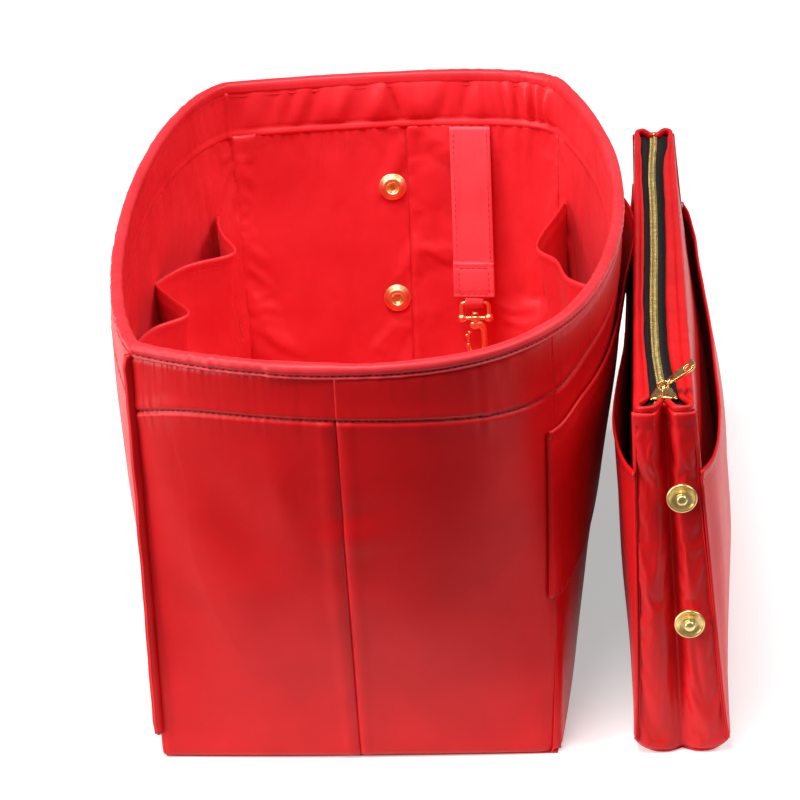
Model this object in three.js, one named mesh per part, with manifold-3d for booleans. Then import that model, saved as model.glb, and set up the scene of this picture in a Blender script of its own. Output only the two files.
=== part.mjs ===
// A purse organizer insert: an open box of padded fabric with a bound rim, inner and outer pockets,
// snap sockets and a key strap, and the detachable zip pouch that stands beside it.
// Millimetres. X runs across the organizer, Y along it to its far end, Z up. The origin is the
// centre of the organizer's base, on the surface that it stands on.
import * as THREE from "three";
import { mergeVertices } from "three/addons/utils/BufferGeometryUtils.js";
import Module from "manifold-3d";

const wasm = await Module();
wasm.setup();

// Overall sizes of the organizer.
const organizer = { length: 300, width: 151, height: 168 };

// Fabric, padding and the room left between pieces that touch.
const fabric = { shell: 0.6, lining: 0.5, hem: 0.8, gap: 0.3 };
const padding = { wall: 1.7, base: 2.6 };
const cutOverrun = 1;
const weld = 0.0003;
const slopeStepShare = 0.001;
const quarterTurn = Math.PI / 2;
const halvings = 36;

// The plan of each wall as a cubic curve, as shares of half the width and half the length. The base
// is nearly a rectangle. The rim is a barrel with two sharp corners left and two round ones right.
const basePlanShares = {
  near: [[-1, -1], [-0.45, -1.01], [0.09, -1.01], [1, -1]],
  right: [[1, -1], [1.06, -0.5], [1.06, 0.5], [1, 1]],
  far: [[1, 1], [0.53, 1.01], [0.05, 1.01], [-1, 1]],
  left: [[-1, 1], [-1.08, 0.5], [-1.08, -0.5], [-1, -1]],
};
const rimPlanShares = {
  near: [[-1.007, -0.94], [-0.82, -0.975], [0.36, -1.293], [1.007, -0.847]],
  right: [[1.007, -0.847], [1.351, -0.633], [1.536, 0.207], [0.967, 0.973]],
  far: [[0.967, 0.973], [0.85, 1.187], [-0.132, 1.133], [-1.033, 1.053]],
  left: [[-1.033, 1.053], [-1.483, 0.853], [-1.364, -0.567], [-1.007, -0.94]],
};
const sideNames = ["near", "right", "far", "left"];
// How far each wall swells past, or hangs back from, an even rise between base and rim.
const bellyShare = { near: 0, right: -0.12, far: 0, left: 0.45 };
const seamShare = { near: 0.57, far: 0.61 };

// The bands that run round the top of the organizer, and the heights of their edges.
const rimBand = { facing: 26.5, binding: 4.8 };
const rim = {
  facingBottom: organizer.height - rimBand.facing,
  bindingBottom: organizer.height - rimBand.binding,
  bindingTop: organizer.height,
};
// Every layer of a wall has the same columns and rows of points, with one column beside each corner.
const wallColumns = { near: 10, right: 14, far: 10, left: 14 };
const wallRows = 6;
const lattice = { lowestRow: 5, endColumn: 4.5, sideColumn: 9 };

const welt = { reach: 3.6, thickness: 2.6, groove: 0.7, bottom: 1.5 };

const outerPocket = { drop: 33, height: 73, gape: 10.6, gapeShare: 0.82, spreadShare: 0.17 };
// How fast a pocket's mouth closes on its sewn ends: the lower, the faster.
const sewnEase = 0.25;
const innerPocket = { bottom: 6, drop: 58, thickness: 0.8, stand: 0.5 };
// Each fold is its place along the pocket and its standing off, as shares of the pocket's own.
const leftFoldShares = [[0, 0], [0.3, 0.55], [0.6, 1], [0.78, 0.32], [1, 0]];
const rightFoldShares = [[0, 0], [0.45, 1], [0.66, 0.72], [0.86, 0.58], [1, 0]];
// Each row keeps its room from the organizer's ends. Its seams are shares of what is between.
const leftPockets = {
  farRoom: 6,
  nearRoom: 22,
  seamShares: [0, 0.298, 0.596, 1],
  bulge: { far: 22, middle: 19, near: 17 },
  foldShares: leftFoldShares,
};
const rightPockets = {
  farRoom: 10,
  nearRoom: 38,
  seamShares: [0, 0.428, 0.754, 1],
  bulge: { far: 23, middle: 19, near: 15 },
  foldShares: rightFoldShares,
};
const pocketSteps = 7;

const snap = { diameter: 12.4, fall: 53.5, spacing: 51, offset: 6.5, sides: 12 };
const socket = {
  height: 2.4, crown: 4.5, mouth: 2.4, recess: 1.5, shank: 1.3, capRadius: 3, capThickness: 0.9,
};
// The studs sit lower on the pouch than the sockets on the organizer, and beside the gusset's crease.
const stud = {
  flange: 0.9, bead: 0.8, neck: 1.7, ball: 2.3, ballHeight: 3.6, shank: 1.2, capRadius: 2.2,
  drop: 8.7, offset: 4.4,
};

// The strap lies on the far wall at its top and stands off it by its lift at its lower end.
const strap = { width: 18, thickness: 1.4, hang: 74, foldHeight: 15, foldThickness: 2.6, x: 29, lift: 8.4 };
const strapLoop = { width: 8.2, height: 5.4, thickness: 4.8, bore: 1.6, wall: 0.9 };
const eye = { width: 12, height: 7.4, wire: 0.9, knob: 1.8, collarRadius: 2.1, collarHeight: 2.6 };
const swivel = { stem: 0.75, bore: 1.1, head: 1.45, headHeight: 1.2 };
const hook = { length: 17, shoulder: 5.2, width: 9.4, wire: 2.2, thickness: 2.6, body: 6 };
const gate = { width: 1.2, pivotRadius: 1.1, clearance: 0.35 };

// The pouch: its base, its zip plane and how it leans and stands turned a little to the organizer.
const pouchFit = { longer: 5, lower: 29, apart: 43, zipRise: 1 };
const pouch = {
  length: organizer.length + pouchFit.longer,
  height: organizer.height - pouchFit.lower,
  x: organizer.width / 2 + pouchFit.apart,
  y: 2.5,
  lean: 5,
  yaw: 0.0227,
  taper: 0.8,
};
const pouchHalf = { base: 15, topNear: 10.8, topFar: 8.2 };
const pouchBelly = { left: 3, right: 5.5 };
const gusset = { creaseDepth: 8, creaseShare: 0.085, swell: 1.6, steps: 14 };
const slip = {
  bottom: 3, drop: 23, spreadShare: 0.15,
  left: { gape: 6.5, atShare: 0.16 },
  right: { gape: 8, atShare: 0.24 },
};
const pouchSteps = { length: 14, height: 6 };

// The zip: pitch and section of the teeth, the tape, and the slider that runs on them.
const zip = {
  pitch: 3.2, tooth: 1.2, taper: 0.2, cross: 0.6, spine: 1.5, half: 2.2, thickness: 2.2,
  z: pouch.height + pouchFit.zipRise,
};
const tapeSteps = 20;
// The strips beside the zip have more steps near the slider, where the zip parts.
const nearCrowding = 1.6;
const tape = { thickness: 0.5, edge: 0.3 };
const lip = { inner: 5.2, height: 1.5, ridge: 0.7 };
const slider = {
  length: 9.6, front: 4.7, rear: 3.5, plate: 0.8, flange: 0.6, wedge: 0.6, restFromEnd: 14,
};
const bridge = { width: 1.6, length: 6.6, height: 3.6, bar: 1.1 };
const puller = {
  length: 15, neck: 3, tip: 6, thickness: 1.1, tilt: 0.63,
  eyeInner: 1.3, eyeOuter: 2.3, eyeWidth: 3, holeRadius: 1.4,
};
const stop = { length: 2.6, width: 2.2, height: 3 };
const spread = { slider: 1.7, end: 3.6 };

const colours = { satin: 0xd11620, lining: 0xdd1f2a, foam: 0xb8141c, tape: 0x33303a, gold: 0xd2a44a };
const finishes = {
  satin: new THREE.MeshStandardMaterial({ color: colours.satin, roughness: 0.42 }),
  lining: new THREE.MeshStandardMaterial({ color: colours.lining, roughness: 0.45 }),
  foam: new THREE.MeshStandardMaterial({ color: colours.foam, roughness: 0.9 }),
  tape: new THREE.MeshStandardMaterial({ color: colours.tape, roughness: 0.85 }),
  gold: new THREE.MeshStandardMaterial({ color: colours.gold, roughness: 0.22, metalness: 1 }),
};

// Turns the faces out where a mapping has turned them in.
function facingOut(geometry) {
  const position = geometry.getAttribute("position");
  const index = geometry.index.array;
  const [a, b, c] = [new THREE.Vector3(), new THREE.Vector3(), new THREE.Vector3()];
  let volume = 0;
  for (let i = 0; i < index.length; i += 3) {
    a.fromBufferAttribute(position, index[i]);
    b.fromBufferAttribute(position, index[i + 1]);
    c.fromBufferAttribute(position, index[i + 2]);
    volume += a.dot(b.cross(c));
  }
  if (volume < 0) {
    for (let i = 0; i < index.length; i += 3) {
      [index[i + 1], index[i + 2]] = [index[i + 2], index[i + 1]];
    }
  }
  geometry.computeVertexNormals();
  return geometry;
}

function positionOnly(geometry) {
  geometry.deleteAttribute("normal");
  geometry.deleteAttribute("uv");
  return geometry;
}

function merged(geometry) {
  return facingOut(mergeVertices(positionOnly(geometry), weld));
}

// A sheet solid: a lattice of points on a unit box, each where place(u, v, depth) says, from 0 to 1.
// Both faces are split along the same diagonal, so that sheets laid on each other keep their gap.
function sheet([across, up, through = 1], place) {
  const corners = new Map();
  const points = [];
  const faces = [];
  const at = (i, j, k) => {
    const key = `${i},${j},${k}`;
    if (!corners.has(key)) {
      corners.set(key, points.length / 3);
      points.push(...place(i / across, j / up, k / through).toArray());
    }
    return corners.get(key);
  };
  const quad = (a, b, c, d) => faces.push(a, b, c, a, c, d);
  for (let i = 0; i < across; i++) {
    for (let j = 0; j < up; j++) {
      quad(at(i, j, 0), at(i, j + 1, 0), at(i + 1, j + 1, 0), at(i + 1, j, 0));
      quad(at(i, j, through), at(i + 1, j, through), at(i + 1, j + 1, through), at(i, j + 1, through));
    }
  }
  for (let k = 0; k < through; k++) {
    for (let i = 0; i < across; i++) {
      quad(at(i, 0, k), at(i + 1, 0, k), at(i + 1, 0, k + 1), at(i, 0, k + 1));
      quad(at(i, up, k), at(i, up, k + 1), at(i + 1, up, k + 1), at(i + 1, up, k));
    }
    for (let j = 0; j < up; j++) {
      quad(at(0, j, k), at(0, j, k + 1), at(0, j + 1, k + 1), at(0, j + 1, k));
      quad(at(across, j, k), at(across, j + 1, k), at(across, j + 1, k + 1), at(across, j, k + 1));
    }
  }
  const geometry = new THREE.BufferGeometry();
  geometry.setAttribute("position", new THREE.Float32BufferAttribute(points, 3));
  geometry.setIndex(faces);
  return facingOut(geometry);
}

// A closed band: a ring of sections, each the closed profile placed by place(step, profilePoint).
function band(profile, steps, place) {
  const closed = [...profile, profile[0]];
  const geometry = new THREE.LatheGeometry(closed, steps);
  const position = geometry.getAttribute("position");
  for (let i = 0; i < position.count; i++) {
    const ring = Math.floor(i / closed.length) % steps;
    const p = place(ring, closed[i % closed.length]);
    position.setXYZ(i, p.x, p.y, p.z);
  }
  return merged(geometry);
}

function solidOf(geometry) {
  const clean = mergeVertices(positionOnly(geometry.clone()), weld);
  return new wasm.Manifold(
    new wasm.Mesh({
      numProp: 3,
      vertProperties: clean.getAttribute("position").array,
      triVerts: new Uint32Array(clean.index.array),
    }),
  );
}

function geometryOf(solid) {
  const mesh = solid.getMesh();
  const geometry = new THREE.BufferGeometry();
  geometry.setAttribute("position", new THREE.BufferAttribute(mesh.vertProperties, 3));
  geometry.setIndex(new THREE.BufferAttribute(mesh.triVerts, 1));
  geometry.computeVertexNormals();
  return geometry;
}

function joined(first, ...others) {
  return geometryOf(others.reduce((sum, other) => sum.add(solidOf(other)), solidOf(first)));
}

function cut(first, ...others) {
  return geometryOf(others.reduce((sum, other) => sum.subtract(solidOf(other)), solidOf(first)));
}

function piece(name, geometry, finish) {
  const mesh = new THREE.Mesh(geometry, finishes[finish]);
  mesh.name = name;
  return mesh;
}

// A box between two corners.
function block(low, high) {
  const size = high.map((value, axis) => value - low[axis]);
  const geometry = new THREE.BoxGeometry(...size);
  return geometry.translate(...high.map((value, axis) => (value + low[axis]) / 2));
}

// A cylinder along an axis, centred on a point.
function rod(radius, length, axis, centre, sides = snap.sides) {
  const geometry = new THREE.CylinderGeometry(radius, radius, length, sides);
  if (axis === "x") geometry.rotateZ(quarterTurn);
  if (axis === "z") geometry.rotateX(quarterTurn);
  return geometry.translate(...centre);
}

function ball(radius, centre) {
  const geometry = new THREE.SphereGeometry(radius, 8, 5);
  return merged(geometry).translate(...centre);
}

// A turned piece: its profile in radius and height, turned to point along a direction.
function turned(points, centre, direction, sides = snap.sides) {
  const geometry = new THREE.LatheGeometry(points.map(([r, h]) => new THREE.Vector2(r, h)), sides);
  const turn = new THREE.Quaternion().setFromUnitVectors(new THREE.Vector3(0, 1, 0), direction);
  return merged(geometry).applyQuaternion(turn).translate(centre.x, centre.y, centre.z);
}

// The organizer's walls

function planCurve(shares) {
  const scaled = shares.map(
    ([x, y]) => new THREE.Vector2((x * organizer.width) / 2, (y * organizer.length) / 2),
  );
  return new THREE.CubicBezierCurve(...scaled);
}

const plan = Object.fromEntries(
  sideNames.map((side) => [
    side,
    { base: planCurve(basePlanShares[side]), rim: planCurve(rimPlanShares[side]) },
  ]),
);

// A point of a wall's outer surface in plan, u along the wall and v up it, each from 0 to 1.
function wallPlan(side, u, v) {
  const swell = bellyShare[side] * Math.sin(Math.PI * u) * Math.sin(Math.PI * v);
  const rise = Math.sin(quarterTurn * v) + swell;
  const [base, top] = [plan[side].base.getPoint(u), plan[side].rim.getPoint(u)];
  return base.lerp(top, rise);
}

// The direction out of a wall, level.
function wallOutward(side, u, v) {
  const from = wallPlan(side, Math.max(u - slopeStepShare, 0), v);
  const to = wallPlan(side, Math.min(u + slopeStepShare, 1), v);
  const along = to.sub(from).normalize();
  return new THREE.Vector2(along.y, -along.x);
}

// The share along a wall at one of its columns. An end wall's middle column is its centre seam.
function columnShare(side, column) {
  const last = wallColumns[side];
  if (column === 0) return 0;
  if (column === last) return 1;
  const even = (column - 1) / (last - 2);
  const seam = seamShare[side];
  const beside =
    seam === undefined ? lattice.sideColumn / organizer.length : lattice.endColumn / organizer.width;
  const share = THREE.MathUtils.lerp(beside, 1 - beside, even);
  if (seam === undefined) return share;
  return share < 0.5 ? 2 * share * seam : seam + (2 * share - 1) * (1 - seam);
}

// The height of a row: one lies just over the floor and the last but one where the facing starts.
function rowHeight(row) {
  if (row === 0) return 0;
  if (row === wallRows) return organizer.height;
  return THREE.MathUtils.lerp(lattice.lowestRow, rim.facingBottom, (row - 1) / (wallRows - 2));
}

function gridPoint(side, column, row, depth) {
  const [u, z] = [columnShare(side, column), rowHeight(row)];
  const v = z / organizer.height;
  const at = wallPlan(side, u, v).addScaledVector(wallOutward(side, u, v), -depth);
  return new THREE.Vector3(at.x, at.y, z);
}

// A point on the faceted wall, at a share of its columns, a height and a depth from its outside.
function wallPoint(side, s, z, depth) {
  const across = s * wallColumns[side];
  const column = Math.min(Math.floor(across), wallColumns[side] - 1);
  let row = wallRows - 1;
  while (row > 0 && z < rowHeight(row)) row -= 1;
  const [right, up] = [across - column, (z - rowHeight(row)) / (rowHeight(row + 1) - rowHeight(row))];
  const low = gridPoint(side, column, row, depth);
  const high = gridPoint(side, column + 1, row + 1, depth);
  if (up > right) {
    const corner = gridPoint(side, column, row + 1, depth);
    return low.lerp(corner, up).addScaledVector(high.sub(corner), right);
  }
  const corner = gridPoint(side, column + 1, row, depth);
  return low.lerp(corner, right).addScaledVector(high.sub(corner), up);
}

// The share of a wall's columns at which it passes a value of x or y.
function wallShare(side, z, axis, value) {
  let [low, high] = [0, 1];
  const rising = wallPoint(side, 1, z, 0)[axis] > wallPoint(side, 0, z, 0)[axis];
  for (let halving = 0; halving < halvings; halving++) {
    const middle = (low + high) / 2;
    const below = wallPoint(side, middle, z, 0)[axis] < value;
    if (below === rising) low = middle;
    else high = middle;
  }
  return (low + high) / 2;
}

// Where each layer of a wall lies, as depths from its outer surface.
const layers = {
  shell: { outer: 0, inner: fabric.shell },
};
layers.foam = { outer: layers.shell.inner + fabric.gap };
layers.foam.inner = layers.foam.outer + padding.wall;
layers.lining = { outer: layers.foam.inner + fabric.gap };
layers.lining.inner = layers.lining.outer + fabric.lining;
layers.facing = { outer: layers.lining.outer, inner: layers.lining.outer + fabric.hem };

const floor = { shellTop: fabric.shell };
floor.boardBottom = floor.shellTop + fabric.gap;
floor.boardTop = floor.boardBottom + padding.base;
floor.liningBottom = floor.boardTop + fabric.gap;
floor.liningTop = floor.liningBottom + fabric.lining;
const bindingRoom = rim.bindingTop - fabric.hem - fabric.gap;
const wallBottom = floor.boardBottom;

// One layer of one wall, between two shares of its columns. The layer stops short of the next wall or
// of the centre seam.
function wallSheet(side, layerName, [from, to], [low, high]) {
  const layer = layers[layerName];
  const corner = side in seamShare ? layer.inner + fabric.gap : layer.outer;
  const trims = [from > 0 ? fabric.gap / 2 : corner, to < 1 ? fabric.gap / 2 : corner];
  const steps = (to - from) * wallColumns[side];
  return sheet([steps, wallRows], (s, v, d) => {
    const z = THREE.MathUtils.clamp(rowHeight(Math.round(v * wallRows)), low, high);
    const depth = THREE.MathUtils.lerp(layer.outer, layer.inner, d);
    const at = wallPoint(side, THREE.MathUtils.lerp(from, to, s), z, depth);
    if (s > 0 && s < 1) return at;
    const beside = s === 0 ? 1 / steps : 1 - 1 / steps;
    const next = wallPoint(side, THREE.MathUtils.lerp(from, to, beside), z, depth);
    return at.lerp(next, trims[s] / at.distanceTo(next));
  });
}

const halves = {
  near: { left: [0, 0.5], right: [0.5, 1] },
  far: { right: [0, 0.5], left: [0.5, 1] },
};

function addWalls(group) {
  const liningSpan = [floor.liningTop + fabric.gap, rim.facingBottom - fabric.gap];
  const fullSpan = [wallBottom, bindingRoom];
  const whole = [0, 1];
  for (const side of ["left", "right"]) {
    group.add(
      piece(`${side}_side_shell`, wallSheet(side, "shell", whole, fullSpan), "satin"),
      piece(`${side}_side_stiffener`, wallSheet(side, "foam", whole, fullSpan), "foam"),
      piece(`${side}_side_lining`, wallSheet(side, "lining", whole, liningSpan), "lining"),
    );
  }
  for (const side of ["near", "far"]) {
    const places = socketPlaces(side);
    const wide = places.map((place) => socketBore(place, socket.capRadius + fabric.gap));
    const narrow = places.map((place) => socketBore(place, socket.shank + fabric.gap));
    const foam = wallSheet(side, "foam", whole, fullSpan);
    group.add(piece(`${side}_end_stiffener`, cut(foam, ...wide), "foam"));
    for (const half of ["left", "right"]) {
      const span = halves[side][half];
      const lining = wallSheet(side, "lining", span, liningSpan);
      group.add(piece(`${side}_end_shell_${half}`, wallSheet(side, "shell", span, fullSpan), "satin"));
      group.add(piece(`${side}_end_lining_${half}`, cut(lining, ...narrow), "lining"));
    }
  }
}

const outlineSteps = sideNames.reduce((sum, side) => sum + wallColumns[side], 0);

// A point of the outline round all four walls at a height and depth, with its corners mitred.
function outlinePoint(step, z, depth) {
  let [index, rest] = [0, step % outlineSteps];
  while (rest >= wallColumns[sideNames[index]]) {
    rest -= wallColumns[sideNames[index]];
    index += 1;
  }
  const side = sideNames[index];
  if (rest > 0) return wallPoint(side, rest / wallColumns[side], z, depth);
  const before = sideNames[(index + sideNames.length - 1) % sideNames.length];
  const start = wallPoint(side, 0, z, depth);
  const end = wallPoint(before, 1, z, depth);
  const along = wallPoint(side, 1 / wallColumns[side], z, depth).sub(start);
  const back = wallPoint(before, 1 - 1 / wallColumns[before], z, depth).sub(end);
  const apart = end.sub(start);
  const turn = along.x * back.y - along.y * back.x;
  return start.addScaledVector(along, (apart.x * back.y - apart.y * back.x) / turn);
}

// A flat plate with the outline of the base, drawn in by a depth, between two heights.
function basePlate(depth, low, high) {
  const outline = [];
  for (let i = 0; i < outlineSteps; i++) {
    const p = outlinePoint(i, 0, depth);
    outline.push(new THREE.Vector2(p.x, p.y));
  }
  const options = { depth: high - low, bevelEnabled: false };
  const geometry = new THREE.ExtrudeGeometry(new THREE.Shape(outline), options);
  return merged(geometry.translate(0, 0, low));
}

function addBase(group) {
  const inside = layers.facing.inner + fabric.gap;
  group.add(
    piece("bottom_shell", basePlate(0, 0, floor.shellTop), "satin"),
    piece("base_board", basePlate(inside, floor.boardBottom, floor.boardTop), "foam"),
    piece("bottom_lining", basePlate(inside, floor.liningBottom, floor.liningTop), "lining"),
  );
}

function addRim(group) {
  const [outside, inside] = [-fabric.gap, layers.facing.inner + fabric.gap];
  const [top, bottom, fold] = [rim.bindingTop, rim.bindingBottom, fabric.hem];
  const binding = [
    [outside, bottom],
    [outside - fold, bottom],
    [outside - fold, top],
    [inside + fold, top],
    [inside + fold, bottom],
    [inside, bottom],
    [inside, top - fold],
    [outside, top - fold],
  ].map(([depth, z]) => new THREE.Vector2(depth, z));
  const low = rim.facingBottom;
  const high = bindingRoom;
  const { outer, inner } = layers.facing;
  const facing = [[outer, high], [outer, low], [inner, low], [inner, high]].map(
    ([depth, z]) => new THREE.Vector2(depth, z),
  );
  const place = (step, p) => outlinePoint(step, p.y, p.x);
  group.add(
    piece("rim_binding", band(binding, outlineSteps, place), "satin"),
    piece("rim_facing", band(facing, outlineSteps, place), "lining"),
  );
}

// A welt: the folded seam that stands out along a left corner, with a groove between its two folds.
function addWelt(group, name, side) {
  const top = rim.bindingBottom - fabric.gap;
  const geometry = sheet([1, wallRows, 2], (s, v, d) => {
    const z = THREE.MathUtils.clamp(rowHeight(Math.round(v * wallRows)), welt.bottom, top);
    const height = z / organizer.height;
    const before = sideNames[(sideNames.indexOf(side) + 3) % sideNames.length];
    const out = wallOutward(before, 1, height).add(wallOutward(side, 0, height)).normalize();
    const corner = wallPoint(side, 0, z, 0);
    const stand = fabric.gap * 2 + s * (welt.reach - welt.groove * (1 - Math.abs(2 * d - 1)));
    const aside = (d - 0.5) * welt.thickness;
    corner.x += out.x * stand - out.y * aside;
    corner.y += out.y * stand + out.x * aside;
    return corner;
  });
  group.add(piece(name, geometry, "satin"));
}

// Pockets on the organizer

function addOuterPocket(group) {
  const depth = -fabric.gap;
  const edge = fabric.gap / organizer.length;
  const geometry = sheet([2 * wallColumns.right, 4], (s, v, d) => {
    const u = THREE.MathUtils.clamp(s, edge, 1 - edge);
    const z = organizer.height - outerPocket.drop - (1 - v) * outerPocket.height;
    const off = (s - outerPocket.gapeShare) / outerPocket.spreadShare;
    const gape = outerPocket.gape * Math.exp(-off * off) * v * Math.sin(Math.PI * s) ** sewnEase;
    return wallPoint("right", u, z, depth - gape - d * fabric.hem);
  });
  group.add(piece("outer_pocket", geometry, "satin"));
}

// A row of inner pockets: one sheet that is sewn to the lining at each seam and folds out between.
function addInnerPockets(group, name, side, row) {
  const curve = new THREE.SplineCurve(row.foldShares.map(([s, h]) => new THREE.Vector2(s, h)));
  const foldAt = (share) => {
    let [low, high] = [0, 1];
    for (let halving = 0; halving < halvings; halving++) {
      const middle = (low + high) / 2;
      if (curve.getPoint(middle).x < share) low = middle;
      else high = middle;
    }
    return Math.max(curve.getPoint(low).y, 0);
  };
  const bulges = Object.values(row.bulge);
  const count = bulges.length;
  const far = organizer.length / 2 - row.farRoom;
  const near = row.nearRoom - organizer.length / 2;
  const depth = layers.lining.inner + fabric.gap + innerPocket.stand;
  const geometry = sheet([pocketSteps * count, 4], (s, v, d) => {
    const index = Math.min(Math.floor(s * count), count - 1);
    const along = s * count - index;
    const [start, end] = [row.seamShares[index], row.seamShares[index + 1]];
    const y = THREE.MathUtils.lerp(far, near, THREE.MathUtils.lerp(start, end, along));
    const z = THREE.MathUtils.lerp(innerPocket.bottom, organizer.height - innerPocket.drop, v);
    const u = wallShare(side, z, "y", y);
    const bulge = bulges[index] * foldAt(along) * v;
    return wallPoint(side, u, z, depth + bulge + d * innerPocket.thickness);
  });
  group.add(piece(name, geometry, "lining"));
}

// Snaps

const snapHigh = organizer.height - snap.fall;
const snapHeights = [snapHigh, snapHigh - snap.spacing];

// Where the sockets sit on an end wall's lining, and the way that they face. Each lies flat on the
// hollow of the wall, so its plane passes through the places where its edge meets the lining.
function socketPlaces(side) {
  const inward = side === "far" ? -1 : 1;
  const reach = snap.diameter / 2;
  return snapHeights.map((height) => {
    const on = (across, up) => {
      const z = height + up;
      const s = wallShare(side, z, "x", inward * snap.offset + across);
      return wallPoint(side, s, z, layers.lining.inner + fabric.gap);
    };
    const [left, right, below, above] = [on(-reach, 0), on(reach, 0), on(0, -reach), on(0, reach)];
    const at = left.clone().add(right).add(below).add(above).divideScalar(4);
    const face = above.sub(below).cross(right.sub(left)).normalize().multiplyScalar(inward);
    return { at: at.addScaledVector(face, fabric.gap), face };
  });
}

function socketBore({ at, face }, radius) {
  const half = layers.lining.inner + fabric.gap + cutOverrun;
  const profile = [[0, -half], [radius, -half], [radius, half], [0, half]];
  return turned(profile, at, face);
}

function addSockets(group, side) {
  const radius = snap.diameter / 2;
  const top = socket.height;
  const capTop = -(fabric.lining + fabric.gap * 3);
  const profile = [
    [0, capTop - socket.capThickness],
    [socket.capRadius, capTop - socket.capThickness],
    [socket.capRadius, capTop],
    [socket.shank, capTop],
    [socket.shank, 0],
    [radius, 0],
    [radius, fabric.hem],
    [socket.crown, top],
    [socket.mouth + fabric.gap, top],
    [socket.mouth, top - socket.recess],
    [0, top - socket.recess],
  ];
  socketPlaces(side).forEach(({ at, face }, index) => {
    const name = `${side}_snap_socket_${index === 0 ? "upper" : "lower"}`;
    group.add(piece(name, turned(profile, at, face), "gold"));
  });
}

// Key strap and clasp

const strapTop = rim.facingBottom - fabric.gap;
const strapBottom = strapTop - strap.hang;

// A point on the strap's middle plane: it hangs down along the far wall and stands off it below.
function strapPlace(x, z, off) {
  const u = wallShare("far", z, "x", strap.x + x);
  const wall = wallPoint("far", u, z, layers.lining.inner);
  const low = (strapTop - z) / strap.hang;
  const away = 2 * fabric.gap + low * strap.lift;
  return new THREE.Vector3(strap.x + x, wall.y - away - off, z);
}

const eyeTop = strapBottom - strapLoop.height + strapLoop.bore + strapLoop.wall;
const eyeCentre = strapPlace(0, strapBottom - strapLoop.height / 2, strap.foldThickness / 2);
const collarZ = eyeTop - eye.height;

function strapGeometry() {
  const main = sheet([2, 6], (s, v, d) => {
    const z = THREE.MathUtils.lerp(strapBottom, strapTop, v);
    return strapPlace((s - 0.5) * strap.width, z, d * strap.thickness);
  });
  const fold = sheet([2, 3], (s, v, d) => {
    const z = strapBottom + v * strap.foldHeight;
    const at = strapPlace((s - 0.5) * strap.width, z, 0);
    return at.setY(at.y - strap.thickness / 2 - (d * strap.foldThickness) / 2);
  });
  const loopLow = strapBottom - strapLoop.height;
  const y = eyeCentre.y;
  const loop = block(
    [strap.x - strapLoop.width / 2, y - strapLoop.thickness / 2, loopLow],
    [strap.x + strapLoop.width / 2, y + strapLoop.thickness / 2, strapBottom + fabric.gap],
  );
  const bore = rod(strapLoop.bore, strap.width, "x", [strap.x, y, eyeTop]);
  return cut(joined(main, fold, loop), bore);
}

function eyeGeometry() {
  const { width, height, wire } = eye;
  const corner = wire * 1.5;
  const [right, top] = [width / 2, height / 2];
  const points = [
    [-right + corner, top], [right - corner, top], [right, top - corner],
    [right, -top + corner], [right - corner, -top], [-right + corner, -top],
    [-right, -top + corner], [-right, top - corner],
  ].map(([x, z]) => new THREE.Vector3(x, 0, z));
  const path = new THREE.CatmullRomCurve3(points, true, "centripetal");
  const ring = merged(new THREE.TubeGeometry(path, 24, wire, 5, true));
  const knobs = [-1, 1].map((hand) => ball(eye.knob, [hand * right, 0, -top]));
  const collar = rod(eye.collarRadius, eye.collarHeight, "z", [0, 0, -top]);
  const whole = joined(ring, ...knobs, collar);
  const bore = rod(swivel.bore, eye.collarHeight + cutOverrun, "z", [0, 0, -top]);
  return cut(whole, bore).translate(strap.x, eyeCentre.y, eyeTop - top);
}

// The hook, drawn in its own plane: a stem with a head, a shoulder and a hooked nose.
function hookGeometry() {
  const { length, shoulder, width, wire, thickness, body } = hook;
  const top = -eye.collarHeight / 2 - fabric.gap;
  const outline = new THREE.Shape();
  const right = width / 2;
  const low = top - length;
  const bow = low + right;
  outline.moveTo(-shoulder / 2, top);
  outline.lineTo(shoulder / 2, top);
  outline.quadraticCurveTo(right, top - body / 2, right, top - body);
  outline.lineTo(right, bow);
  outline.absarc(0, bow, right, 0, -Math.PI, true);
  outline.lineTo(-right, bow + wire);
  outline.lineTo(-right + wire, bow + wire);
  outline.lineTo(-right + wire, bow);
  outline.absarc(0, bow, right - wire, Math.PI, 0, false);
  outline.lineTo(right - wire, top - body);
  outline.lineTo(-shoulder / 2, top - body + wire / 2);
  outline.closePath();
  const options = { depth: thickness, bevelEnabled: false, curveSegments: 7 };
  const plate = merged(new THREE.ExtrudeGeometry(outline, options));
  plate.translate(0, 0, -thickness / 2).rotateX(quarterTurn);
  const headLow = eye.collarHeight / 2 + fabric.gap;
  const stem = rod(swivel.stem, headLow - top + wire, "z", [0, 0, (headLow + top) / 2]);
  const head = rod(swivel.head, swivel.headHeight, "z", [0, 0, headLow + swivel.headHeight / 2]);
  return joined(plate, stem, head).translate(strap.x, eyeCentre.y, collarZ);
}

// The gate: a leaf from its pivot on the shoulder down to the hook's nose.
function gateGeometry() {
  const { length, width, wire, thickness, body, shoulder } = hook;
  const right = width / 2;
  const top = -eye.collarHeight / 2 - fabric.gap;
  const bow = top - length + right;
  const high = top - body + wire / 2 - gate.clearance;
  const low = bow + wire + gate.clearance;
  const x = -right + wire / 2;
  const leaf = block([x - gate.width / 2, -thickness / 2, low], [x + gate.width / 2, thickness / 2, high]);
  const pivot = rod(gate.pivotRadius, thickness, "y", [-shoulder / 2 - gate.clearance, 0, high]);
  const clear = pivot.translate(0, 0, -gate.pivotRadius);
  return joined(leaf, clear).translate(strap.x, eyeCentre.y, collarZ);
}

function addKeyStrap(group) {
  group.add(
    piece("key_strap", strapGeometry(), "lining"),
    piece("clasp_eye", eyeGeometry(), "gold"),
    piece("clasp_hook", hookGeometry(), "gold"),
    piece("clasp_gate", gateGeometry(), "gold"),
  );
}

// The zip pouch

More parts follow.
